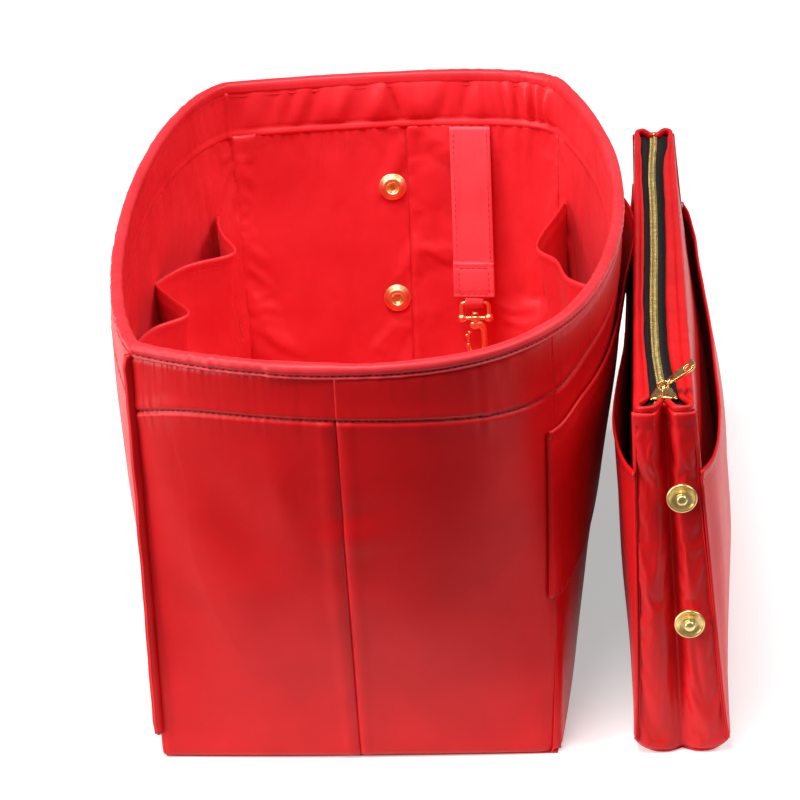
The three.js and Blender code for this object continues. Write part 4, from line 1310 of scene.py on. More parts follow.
@dataclass
class WallLinings:
    """The lining of the walls, below the facing."""

    depth: float = 3.5
    thickness: float = 0.5
    pitch: float = 1.6
    low: float = 4.6
    high: float = 142.6
    sewn: float = 1.0
    pinned: float = 9.0
    loose: float = 1.8

    def relief(self, side: Side, u: Array, z: Array) -> Array:
        """Returns how far the lining stands into the organizer, in millimetres."""
        folds = Relief(31 + SIDES.index(side), swell=1.5, pucker=0.4)
        run = FORM.run(side, SHELL_RUN_AT)
        x = u * run
        fade = np.sin(math.pi * np.clip(z / 150, 0, 1)) ** 0.6
        into = folds.broad_folds(x, z) * fade
        slant = folds.folds(x / 26 + z / 60, z / 90 + x / 150)
        into = into + 0.7 * slant * fade + folds.gathered(x, z, SEAMS.facing_low, 9)
        if side in SEAM_SHARE:
            off = (u - SEAM_SHARE[side]) * run
            into = into - 0.5 * hump(off, 0, 1.1) + 0.4 * hump(off, 4.2, 2.2)
        if side is Side.FAR:
            into = into + 2.4 * fade
            for fold in FAR_LINING_FOLDS:
                into = into + fold.at(FORM.across(side, u), z)
        if side in SEAM_SHARE:
            for level in SOCKET_LEVELS.values():
                into = lerp(0.6, into, ramp(off_socket(side, u, z, level), 7.5, 24))
        edge = np.minimum(u, 1 - u) * run
        return np.clip(into * ramp(edge, 0, 8), -0.1, 5.5) + 3.2 * hump(edge, 2.5, 4.5) * fade

    def surface(self, side: Side, u: Array, z: Array) -> Array:
        """Returns points of the lining, in millimetres."""
        return FORM.point(side, u, z, self.depth + self.relief(side, u, z))

    def panel(self, name: str, side: Side, span: tuple[float, float]) -> None:
        """Makes one panel and dresses it.

        Args:
            name: its CAD node's name.
            side: the wall.
            span: the shares of the wall from which and to which it runs.
        """
        run = FORM.run(side, LINING_RUN_AT, span)
        tall = self.high - self.low
        steps = (int(run / self.pitch), int(tall / self.pitch))

        def place(s: Array, t: Array) -> Array:
            """Returns the panel's points."""
            z = lerp(self.low, self.high, t)
            u = FORM.share(side, lerp(*span, s), z / FORM.height, self.depth)
            return self.surface(side, u, z)

        mesh = flipped(mapped_grid(f"cloth_{name}", steps, place, (run, tall)))
        shares = shares_of(mesh, (run, tall))
        along, z = lerp(*span, shares[:, 0]), lerp(self.low, self.high, shares[:, 1])
        held = (np.minimum(shares, 1 - shares) * np.array([run, tall])).min(axis=1) < self.sewn
        if side in SEAM_SHARE:
            for level in SOCKET_LEVELS.values():
                held |= off_socket(side, along, z, level) < self.pinned
        u = FORM.share(side, along, z / FORM.height, self.depth)
        DRAPE.settle(mesh, held, -self.relief(side, u, z), self.loose)
        piece = Piece(mesh, SOFT_SATIN, Body.ORGANIZER, Slot.LINING, [name])
        piece.thicken(self.thickness).as_sheet((run, tall), "stretched", [f"{side.value}_padding"])

    def build(self) -> None:
        """Makes the six panels."""
        for name, side, span in wall_panels("lining"):
            self.panel(name, side, span)


class RoundTheRim:
    """The columns of a band that runs once round the rim, mitred at its corners."""

    def __init__(self, pitch: float) -> None:
        """Spreads columns over the four walls.

        Args:
            pitch: their spacing in millimetres.
        """
        self.runs = [FORM.run(side, RIM_RUN_AT) for side in SIDES]
        self.counts = [int(run / pitch) for run in self.runs]
        self.total, self.around = sum(self.counts), sum(self.runs)

    def place(self, share: Array, z: Array, depth: Array) -> tuple[Array, Array]:
        """Reads points round the rim.

        Args:
            share: shares of the way round.
            z: heights in millimetres.
            depth: depths in from the outside in millimetres.

        Returns:
            Points, and how far round each one lies, in millimetres.
        """
        steps = np.rint(share * self.total).astype(int)
        spread = [(off, math.exp(-((off / 2.2) ** 2))) for off in range(-4, 5)]
        whole = sum(weight for _, weight in spread)
        points = sum(
            weight / whole * self.corner_place(steps + off, z, depth)[0] for off, weight in spread
        )
        return points, self.corner_place(steps, z, depth)[1]

    def corner_place(self, steps: Array, z: Array, depth: Array) -> tuple[Array, Array]:
        """Reads points round the rim as it is with sharp corners.

        Args:
            steps: which columns the points lie on.
            z: heights in millimetres.
            depth: depths in from the outside in millimetres.

        Returns:
            Points, and how far round each one lies, in millimetres.
        """
        step = steps % self.total
        points, distance = np.zeros((len(step), 3)), np.zeros(len(step))
        first = 0
        for index, side in enumerate(SIDES):
            here = (step >= first) & (step < first + self.counts[index])
            s = (step[here] - first) / self.counts[index]
            u = FORM.share(side, s, z[here] / FORM.height, depth[here])
            points[here] = FORM.point(side, u, z[here], depth[here])
            distance[here] = sum(self.runs[:index]) + s * self.runs[index]
            first += self.counts[index]
        return points, distance


@dataclass
class Rim:
    """The bound rim: the rolled binding, the gathered facing inside it and their stitches."""

    pitch: float = 1.3
    middle: float = 1.85
    half: float = 2.45
    shoulder: float = 164.4
    top: float = 166.7
    inner_low: float = 160.2
    rise: float = 0.36
    facing_depth: float = 3.75

    def __post_init__(self) -> None:
        """Lays out the columns and the ripples."""
        self.round = RoundTheRim(self.pitch)
        self.fine, self.broad = Ripple(71), Ripple(72)
        self.join_at = 0.45 * self.round.runs[0]

    def gather(self, x: Array) -> Array:
        """Returns how strongly the cloth is drawn up, by the way round the rim in millimetres."""
        return 0.25 + ramp(self.broad(x / 70, 0.5), -0.2, 0.35)

    def binding_section(self, q: Array) -> tuple[Array, Array]:
        """Reads the binding's section.

        Args:
            q: shares of the way from its lower edge outside, over the top, to that inside.

        Returns:
            Depths and heights in millimetres.
        """
        rise = self.rise
        low = np.where(q < 0.5, SEAMS.binding_low, self.inner_low)
        side_z = lerp(low, self.shoulder, np.minimum(np.minimum(q, 1 - q) / rise, 1))
        turn = np.clip((q - rise) / (1 - 2 * rise), 0, 1) * math.pi
        waist = self.half - 0.9 * hump(side_z, low + 0.9, 0.75)
        over = (q > rise) & (q < 1 - rise)
        depth = np.where(over, -np.cos(turn) * self.half, np.where(q < 0.5, -waist, waist))
        z = np.where(over, self.shoulder + (self.top - self.shoulder) * np.sin(turn) ** 0.85, side_z)
        return self.middle + depth, z

    def binding_surface(self, share: Array, q: Array) -> Array:
        """Returns the binding's points, in millimetres."""
        depth, z = self.binding_section(q)
        _, x = self.round.place(share, z, depth)
        drawn = self.fine(x / 3.4, 0.3 + q) + 0.6 * self.fine(x / 7.5, 4 + q)
        swell = 0.4 * self.gather(x) * drawn + 0.25 * self.broad(x / 30, 7.0)
        swell = swell + 1.7 * hump(x, self.join_at - 24, 13) * np.abs(self.fine(x / 4.4, 2.0))
        past = x - self.join_at
        swell = swell + 0.75 * ramp(past, -1.4, 0) * (1 - ramp(past, 5, 30))
        off, up = depth - self.middle, z - (self.shoulder - 1.5)
        reach = np.maximum(np.hypot(off, up), 1e-6)
        depth = depth + off / reach * swell
        z = np.minimum(z + np.maximum(up, 0) / reach * np.minimum(swell, 0.3), self.top + 0.3)
        points, _ = self.round.place(share, z, depth)
        return points

    def make_binding(self) -> None:
        """Makes the binding."""
        around, tall = self.round.around, 15.0
        mesh = mapped_grid(
            "cloth_rim_binding", (self.round.total, 26), self.binding_surface, (around, tall), weld=True
        )
        # The binding's satin carries painted sheen in its colour.
        piece = Piece(mesh, BINDING_SATIN_PAINTED_SHEEN, Body.ORGANIZER, Slot.SATIN, ["rim_binding"])
        piece.thicken(0.5).as_sheet((around, tall), "folded", ["near_padding", "far_padding"])

    def facing_surface(self, share: Array, t: Array) -> Array:
        """Returns the facing's points, in millimetres."""
        z = lerp(SEAMS.facing_low, 164.0, t)
        depth = np.full_like(z, self.facing_depth)
        _, x = self.round.place(share, z, depth)
        far = self.round.runs[0] + self.round.runs[1]
        strong = 0.5 + 1.1 * ramp(x, far - 20, far + 20) * (1 - ramp(x, far + 140, far + 160))
        band = np.sin(math.pi * np.clip((z - SEAMS.hem) / (SEAMS.top_stitch - SEAMS.hem), 0, 1)) ** 0.6
        lean = x + 0.2 * (z - 150) * np.sign(self.broad(x / 90, 2.0))
        folds = np.abs(self.fine(lean / 10.5, z / 90)) * 4.4 + 0.9 * self.fine(lean / 5.2 + 4, z / 70)
        into = strong * (0.7 + 0.4 * self.gather(x)) * folds * band
        corner = x - far - self.round.runs[2]
        into = into + 1.4 * hump(corner, 2.8, 2.0)
        lip = 0.4 + 0.8 * ramp(x, far - 6, far + 6) * (1 - ramp(x, far + 145, far + 157))
        into = into + lip * hump(z, SEAMS.facing_low + 1.5, 1.5) - 0.4 * lip * hump(z, SEAMS.hem, 0.9)
        into = into + 0.22 * self.fine(x / 3.1, 8.0) * hump(z, SEAMS.hem, 3.5)
        into = into * (1 - ramp(z, 161.5, 163.5))
        points, _ = self.round.place(share, z, depth + into)
        return points

    def make_facing(self) -> None:
        """Makes the facing."""
        around, tall = self.round.around - 20, 24.1
        mesh = mapped_grid(
            "cloth_rim_facing", (self.round.total, 24), self.facing_surface, (around, tall), weld=True
        )
        piece = Piece(flipped(mesh), SOFT_SATIN, Body.ORGANIZER, Slot.LINING, ["rim_facing"])
        piece.thicken(0.6).as_sheet((around, tall), "gathered", ["cloth_rim_binding"])

    def stitch(self) -> None:
        """Sews the line under the binding, outside and inside."""
        share = np.arange(self.round.total + 1) / self.round.total
        lines = []
        for inside in (False, True):
            low = self.inner_low if inside else SEAMS.binding_low
            q = np.full_like(share, self.rise * 0.9 / (self.shoulder - low))
            points = self.binding_surface(share, 1 - q if inside else q)
            along = unit(np.roll(points, -1, axis=0) - np.roll(points, 1, axis=0))
            out = columns_of(along[:, 1], -along[:, 0], 0 * share)
            lines.append((points, -out if inside else out))
        Stitching(length=1.7, gap=0.9, thickness=0.75).sew("rim_stitches", lines, Body.ORGANIZER)

    def build(self) -> None:
        """Makes the rim's pieces."""
        self.make_binding()
        self.make_facing()
        self.stitch()


@dataclass
class Welt:
    """A corner's standing seam, of two folds with a groove between them."""

    node: str
    side: Side
    reach: float = 3.2
    thickness: float = 2.4
    low: float = 10.5

    def surface(self, s: Array, t: Array) -> Array:
        """Returns the welt's points, in millimetres."""
        z = lerp(self.low, 162.2, s)
        v = z / FORM.height
        before = SIDES[SIDES.index(self.side) - 1]
        out = unit(FORM.outward(before, np.ones_like(v), v) + FORM.outward(self.side, np.zeros_like(v), v))
        corner = FORM.point(self.side, np.zeros_like(v), z, 0.0)
        turn = 2 * math.pi * t
        wobble = Ripple(91 + SIDES.index(self.side))
        reach = self.reach * (1 - 0.3 * ramp(z, 152, 162)) + 0.45 * wobble(z / 14, 1.0)
        reach = reach + 0.7 * hump(z, 157.5, 2.6) - 0.8 * (1 - ramp(z, self.low, self.low + 6))
        aside = np.sin(turn) * self.thickness / 2 * (1 + 0.25 * np.cos(turn))
        stand = -1.1 + (reach + 1.5) * (0.5 + 0.5 * np.cos(turn))
        stand = stand - 0.9 * hump(np.abs(turn - math.pi), math.pi, 0.45)
        aside = aside + 0.35 * wobble(z / 20, 3.0)
        corner[:, 0] += out[:, 0] * stand - out[:, 1] * aside
        corner[:, 1] += out[:, 1] * stand + out[:, 0] * aside
        return corner

    def build(self) -> None:
        """Makes the welt."""
        mesh = mapped_grid(f"cloth_{self.node}", (110, 24), self.surface, (162, 9), weld=True)
        Piece(capped(mesh), SATIN, Body.ORGANIZER, Slot.SATIN, [self.node])


@dataclass
class Base:
    """The organizer's bottom: its satin, its board and its lining."""

    inset: float = 4.0
    tuck: float = 1.2

    def patch(self, depth: float, z: float, lift: float, seed: int) -> Place:
        """Gives the points of a patch with the base's outline.

        Args:
            depth: how far it is drawn in, in millimetres.
            z: its height in millimetres.
            lift: how high its soft swells are, in millimetres.
            seed: which swells these are.

        Returns:
            The function from shares to points.
        """
        ripple = Ripple(seed)

        def edge(side: Side, s: Array) -> Array:
            """Returns the outline's points along one side."""
            flat = np.zeros_like(s)
            return FORM.point(side, FORM.share(side, s, flat, depth), flat, depth)[:, :2]

        def place(s: Array, t: Array) -> Array:
            """Returns the patch's points."""
            near, far = edge(Side.NEAR, s), edge(Side.FAR, 1 - s)
            left, right = edge(Side.LEFT, 1 - t), edge(Side.RIGHT, t)
            zero, one = np.zeros(1), np.ones(1)
            s2, t2 = s[:, None], t[:, None]
            near_corners = lerp(edge(Side.NEAR, zero), edge(Side.NEAR, one), s2)
            far_corners = lerp(edge(Side.FAR, one), edge(Side.FAR, zero), s2)
            flat = lerp(near, far, t2) + lerp(left, right, s2) - lerp(near_corners, far_corners, t2)
            swell = lift * ripple(flat[:, 0] / 40, flat[:, 1] / 55)
            rise = swell * np.sin(math.pi * s) * np.sin(math.pi * t)
            return columns_of(flat[:, 0], flat[:, 1], z + rise)

        return place

    def build(self) -> None:
        """Makes the base's three pieces."""
        size = (FORM.width, FORM.length)
        steps = (50, 100)
        mesh = flipped(mapped_grid("cloth_bottom_shell", steps, self.patch(1.5, 0.0, 0.0, 1), size))
        piece = Piece(mesh, SATIN, Body.ORGANIZER, Slot.SATIN, ["bottom_shell"])
        piece.thicken(0.6).as_sheet(size, "stretched", ["board_in_base"])
        inner = (size[0] - 2 * self.inset, size[1] - 2 * self.inset)
        mesh = mapped_grid("board_in_base", (30, 60), self.patch(self.inset, 3.5, 0.0, 2), inner)
        Piece(mesh, FELT, Body.ORGANIZER, Slot.FELT, ["base_board"]).thicken(2.6).as_padding(1.0)
        under = (inner[0] + 2 * self.tuck, inner[1] + 2 * self.tuck)
        patch = self.patch(self.inset - self.tuck, 4.4, 1.2, 3)
        mesh = mapped_grid("cloth_bottom_lining", (80, 160), patch, under)
        piece = Piece(mesh, SOFT_SATIN, Body.ORGANIZER, Slot.LINING, ["bottom_lining"])
        piece.thicken(0.5).as_sheet(under, "laid", ["board_in_base"])


@dataclass
class OuterPocket:
    """The flat pocket on the right wall, whose mouth gapes towards its far end."""

    bottom: float = 62.0
    top: float = 135.0
    gape: float = 10.6
    gape_share: float = 0.82
    spread_share: float = 0.17
    before: float = 0.014

    def surface(self, s: Array, t: Array, sunk: float = 0.0) -> Array:
        """Returns the pocket's outer points, in millimetres."""
        u = lerp(-self.before, 0.997, s)
        high = self.top - 3.5 - 4.5 * (1 - ramp(s, 0, 0.15))
        z = lerp(self.bottom, high, t)
        off = (s - self.gape_share) / self.spread_share
        gape = self.gape * np.exp(-off * off) * t * np.sin(math.pi * np.clip(s, 0, 1)) ** 0.25
        folds = Relief(51, swell=1.3)
        x = s * FORM.run(Side.RIGHT, POCKET_RUN_AT)
        loose = np.sin(math.pi * t * 0.9) * ramp(np.minimum(s, 1 - s), 0, 0.04)
        stand = 1.1 + gape + (0.5 + folds.broad_folds(x, z)) * loose
        stand = stand + 0.8 * hump(z, high - 1.0, 1.5) - 0.45 * hump(z, high - 4.2, 0.9)
        stand = np.maximum(stand + 0.5 * hump(s, 0.004, 0.01), 0.9) - sunk
        right = FORM.point(Side.RIGHT, np.maximum(u, 0), z, -stand)
        ratio = FORM.run(Side.RIGHT, POCKET_RUN_AT) / FORM.run(Side.NEAR, POCKET_RUN_AT)
        near = FORM.point(Side.NEAR, 1 + np.minimum(u, 0) * ratio, z, -stand)
        return np.where((u < 0)[:, None], near, right)

    def build(self) -> None:
        """Makes the pocket and its stitches."""
        run, tall = FORM.run(Side.RIGHT, POCKET_RUN_AT), self.top - self.bottom
        steps = (int(run / 1.6), int(tall / 1.5))
        mesh = mapped_grid("cloth_outer_pocket", steps, self.surface, (run, tall))
        piece = Piece(mesh, SATIN, Body.ORGANIZER, Slot.SATIN, ["outer_pocket"])
        piece.thicken(0.8).as_sheet((run + 12, tall), "stretched", ["cloth_right_side_shell"])
        s = np.linspace(0.005, 0.995, 400)
        lines = []
        for t in (0.945, 0.02):
            points = self.surface(s, np.full_like(s, t), sunk=0.05)
            along = unit(np.gradient(points, axis=0))
            lines.append((points, columns_of(along[:, 1], -along[:, 0], 0 * s)))
        Stitching().sew("outer_pocket_stitches", lines, Body.ORGANIZER)


@dataclass
class InnerPockets:
    """A row of three pockets on a side wall's lining, sewn at their seams and standing off between."""

    side: Side
    seams: tuple[float, ...]
    bulges: tuple[float, ...]
    folds: tuple[tuple[float, float], ...]
    bottom: float = 6.0
    top: float = 110.0
    seed: int = 61

    @property
    def way(self) -> float:
        """Returns the way into the organizer along X."""
        return 1.0 if self.side is Side.LEFT else -1.0

    def stand(self, index: Array, along: Array) -> Array:
        """Returns how far the pockets stand off at their mouths, in millimetres."""
        return np.array(self.bulges)[index] * np.maximum(read_curve(self.folds, along), 0)

    def surface(self, s: Array, t: Array, sunk: float = 0.0) -> Array:
        """Returns the pockets' points, in millimetres."""
        count = len(self.bulges)
        index = np.minimum((s * count).astype(int), count - 1)
        along = s * count - index
        seams = np.array(self.seams)
        y = lerp(seams[index], seams[index + 1], along)
        z = lerp(self.bottom, self.top, t)
        u = FORM.share_at(self.side, z, 1, y)
        ripple = Ripple(self.seed)
        bulge = self.stand(index, along) * t
        soft = 1.1 * ripple(y / 26, z / 40) * np.sin(math.pi * along) * t
        edge = 0.5 * hump(z, self.top - 1.4, 1.4) - 0.3 * hump(z, self.top - 5, 0.9)
        depth = 4.9 + bulge + np.maximum(soft, -0.4) + edge - sunk
        return FORM.point(self.side, u, z, depth)

    def build(self) -> None:
        """Makes the row and its stitches."""
        name = f"inner_pockets_{self.side.value}"
        run, tall = self.seams[0] - self.seams[-1], self.top - self.bottom
        length = run + 1.1 * sum(self.bulges)
        steps = (3 * int(run / 4.2), int(tall / 1.8))
        mesh = mapped_grid(f"cloth_{name}", steps, self.surface, (length, tall))
        piece = Piece(flipped(mesh, self.faces_out(mesh)), SOFT_SATIN, Body.ORGANIZER, Slot.LINING, [name])
        piece.thicken(0.8).as_sheet((length, tall), "hung", [f"cloth_{self.side.value}_side_lining"])
        s = np.linspace(0.003, 0.997, 400)
        points = self.surface(s, np.full_like(s, 0.955), sunk=0.02)
        lines = [(points, self.inward(points))]
        count = len(self.bulges)
        for seam in range(count + 1):
            t = np.linspace(0.02, 0.99, 120)
            at = np.full_like(t, min(max(seam / count, 0.004), 0.996))
            points = self.surface(at, t, sunk=-0.25)
            lines.append((points, self.inward(points)))
        Stitching().sew(f"{name}_stitches", lines, Body.ORGANIZER, Slot.LINING)

    def inward(self, points: Array) -> Array:
        """Returns the way into the organizer at each point."""
        return np.tile(np.array([self.way, 0.0, 0.0]), (len(points), 1))

    def faces_out(self, mesh: bpy.types.Mesh) -> bool:
        """Returns whether the mesh faces the wall instead of the room."""
        return sum((face.normal.x for face in mesh.polygons), 0.0) * self.way < 0


# Snaps, strap and clasp


@dataclass(frozen=True)
class SnapPlace:
    """A snap's place on a body, in millimetres, and the way it faces."""

    node: str
    at: tuple[float, float, float]
    towards: tuple[float, float, float]


@dataclass
class Snaps:
    """The sockets on the organizer's end walls and the studs on the pouch's gussets."""

    socket_depth: float = 4.3
    stud_share: float = 0.92
    stud_aside: float = 4.4
    stud_out: float = 152.6
    sides: int = 56

    def socket_profile(self) -> list[tuple[float, float]]:
        """Returns a socket's section: a domed ring round a recess."""
        return [
            (0, -1.6), (2.4, -1.6), (2.8, -1.2), (2.8, -0.6), (5.9, -0.3), (6.1, 0.0), (6.15, 0.3),
            (6.0, 0.62), (5.6, 0.8), (5.25, 0.85), (5.05, 1.2), (4.7, 1.75), (4.2, 2.15), (3.6, 2.35),
            (3.0, 2.3), (2.6, 2.05), (2.4, 1.65), (2.3, 1.0), (2.15, 0.5), (1.7, 0.35), (0.9, 0.3),
            (0, 0.3),
        ]

    def stud_profile(self) -> list[tuple[float, float]]:
        """Returns a stud's section: a ball in a shallow dish with a beaded edge."""
        return [
            (0, -1.6), (2.1, -1.6), (2.1, -0.4), (5.8, -0.2), (6.1, 0.1), (6.2, 0.6), (6.15, 1.1),
            (5.9, 1.45), (5.55, 1.6), (5.2, 1.5), (4.9, 1.2), (4.2, 0.75), (3.3, 0.55), (2.3, 0.6),
            (1.75, 0.8), (1.6, 1.3), (1.75, 1.7), (2.15, 2.05), (2.3, 2.5), (2.25, 2.95), (1.95, 3.35),
            (1.5, 3.6), (0.8, 3.75), (0, 3.8),
        ]

    def make_socket(self, spot: SnapPlace) -> None:
        """Makes a socket with its two spring wires, in place."""
        meshes = [turned(spot.node, self.socket_profile(), self.sides)]
        for x in (-1.25, 1.25):
            line = np.array([(x, y, 1.25) for y in np.linspace(-1.9, 1.9, 9)])
            meshes.append(tube("spring", line, 0.28, 8))
        mesh = joined(f"snap_{spot.node}", meshes)
        mesh.transform(facing(spot.at, spot.towards))
        Piece(mesh, CLASP_GOLD, Body.ORGANIZER, Slot.GOLD, [spot.node])

    def make_stud(self, spot: SnapPlace) -> None:
        """Makes a stud, in place."""
        mesh = turned(f"snap_{spot.node}", self.stud_profile(), self.sides)
        mesh.transform(Matrix.Diagonal((self.stud_share, self.stud_share, 1, 1)))
        mesh.transform(facing(spot.at, spot.towards))
        Piece(mesh, SNAP_GOLD, Body.POUCH, Slot.GOLD, [spot.node])

    def socket_spots(self) -> list[SnapPlace]:
        """Returns where the four sockets lie on the lining."""
        spots = []
        for side, aside in SOCKET_ASIDE.items():
            for level, z in SOCKET_LEVELS.items():
                u = FORM.share_at(side, z, 0, aside)
                at, face = FORM.point(side, u, z, self.socket_depth), -FORM.normal(side, u, z)
                spots.append(SnapPlace(f"{side.value}_snap_socket_{level}", tuple(at), tuple(face)))
        return spots

    def stud_spots(self) -> list[SnapPlace]:
        """Returns where the four studs stand on the gussets."""
        spots = []
        for end, name in ENDS:
            for level, z in STUD_LEVELS.items():
                x = -end * self.stud_aside - POUCH.lean * z / POUCH.height
                at = POUCH.to_world((x, end * self.stud_out, z))
                face = POUCH.turn_to_world((0.0, end, 0.0))
                spots.append(SnapPlace(f"{name}_snap_stud_{level}", tuple(at), tuple(face)))
        return spots

    def build(self) -> None:
        """Makes the eight snap halves."""
        for spot in self.socket_spots():
            self.make_socket(spot)
        for spot in self.stud_spots():
            self.make_stud(spot)


@dataclass(frozen=True)
class Hang:
    """Where the strap's eye hangs, in millimetres."""

    x: float = 29.0
    y: float = 146.47
    top: float = 64.3


HANG = Hang()


def squared(w: Array, power: float) -> Array:
    """Returns a sine or cosine drawn out towards a square section's."""
    return np.sign(w) * np.abs(w) ** power


@dataclass
class KeyStrap:
    """The strap that hangs on the far wall, folded back over a metal eye at its lower end."""

    x: float = HANG.x
    width: float = 18.0
    thickness: float = 1.4
    top: float = 141.2
    bottom: float = 67.2
    lift: float = 8.4
    fold: float = 15.0
    loop_width: float = 8.2

    def middle(self, x: Array, z: Array, off: Array) -> Array:
        """Returns points off the strap's back, in millimetres."""
        u = FORM.share_at(Side.FAR, z, 0, self.x + x)
        wall = FORM.point(Side.FAR, u, z, 3.4)
        low = (self.top - z) / (self.top - self.bottom)
        y = wall[:, 1] - 0.6 - low * self.lift - off
        return columns_of(self.x + x, y, z)

    def strap_surface(self, s: Array, t: Array) -> Array:
        """Returns the points round the strap's section, along its length."""
        turn = 2 * math.pi * s
        z = lerp(self.bottom, self.top, t)
        half = self.thickness / 2
        x = squared(np.cos(turn), 0.35) * self.width / 2
        ridge = 0.25 * hump(np.abs(x), 7.3, 0.9)
        wave = 0.5 * Ripple(83)(x / 30, z / 22)
        off = half + squared(np.sin(turn), 0.35) * (half + ridge) + wave
        return self.middle(x, z, np.maximum(off, 0.05))

    def fold_surface(self, s: Array, t: Array) -> Array:
        """Returns the points of the folded-over block."""
        turn = 2 * math.pi * s
        z = self.bottom + t * self.fold
        x = squared(np.cos(turn), 0.3) * (self.width / 2 + 0.15)
        puff = 0.5 * np.sin(math.pi * np.clip(t, 0, 1)) * np.cos(np.clip(x / 9, -1, 1) * math.pi / 2)
        dent = 0.35 * (hump(np.abs(x), 6.6, 0.7) + hump(t, 0.12, 0.05) + hump(t, 0.86, 0.05))
        off = 1.9 + squared(np.sin(turn), 0.3) * (1.7 + puff - dent)
        return self.middle(x, z, np.maximum(off, 0.0))

    def loop_path(self) -> Array:
        """Returns the line of the loop that holds the eye."""
        front = [(-0.2, 68.5), (-1.7, 66.2), (-2.1, HANG.top), (-1.3, HANG.top - 1.9)]
        behind = [(-off, z) for off, z in reversed(front)]
        knots = [*front, (0, HANG.top - 2.3), *behind]
        return curve_through([(0, HANG.y + off, z) for off, z in knots], 40)

    def loop_mesh(self) -> bpy.types.Mesh:
        """Returns the flat loop under the fold."""
        path = self.loop_path()

        def place(s: Array, t: Array) -> Array:
            """Returns the loop's points across its width."""
            index = np.rint(s * (len(path) - 1)).astype(int)
            points = path[index].copy()
            points[:, 0] = self.x + (t - 0.5) * self.loop_width
            return points

        mesh = mapped_grid("loop", (len(path) - 1, 8), place, (14, self.loop_width))
        with editing(mesh) as work:
            bmesh.ops.solidify(work, geom=list(work.faces), thickness=0.8 * MM)
            bmesh.ops.recalc_face_normals(work, faces=work.faces)
        return mesh

    def seam(
        self, x: tuple[float, float], z: tuple[float, float], off: float, count: int
    ) -> tuple[Array, Array]:
        """Returns a straight seam off the strap's back and the way that it faces."""
        points = self.middle(np.linspace(*x, count), np.linspace(*z, count), np.full(count, off))
        return points, np.tile([0.0, -1.0, 0.0], (count, 1))

    def build(self) -> None:
        """Makes the strap and its stitches."""
        strap = capped(mapped_grid("strap", (48, 46), self.strap_surface, (39, 74), weld=True))
        fold = capped(mapped_grid("fold", (48, 22), self.fold_surface, (40, 15), weld=True))
        mesh = joined("cloth_key_strap", [strap, fold, self.loop_mesh()])
        Piece(mesh, STRAP_SATIN, Body.STRAP, Slot.LINING, ["key_strap"])
        aside, block, low, high = 6.6, 3.65, 69.0, 80.1
        lines = [self.seam((-aside, aside), (z, z), block, 40) for z in (low, high)]
        lines += [self.seam((x, x), (low, high), block, 40) for x in (-aside, aside)]
        lines += [self.seam((x, x), (83, 140.5), 1.62, 120) for x in (-7.4, 7.4)]
        stitching = Stitching(length=2.0, gap=0.6, thickness=0.45)
        stitching.sew("key_strap_stitches", lines, Body.STRAP, Slot.LINING)


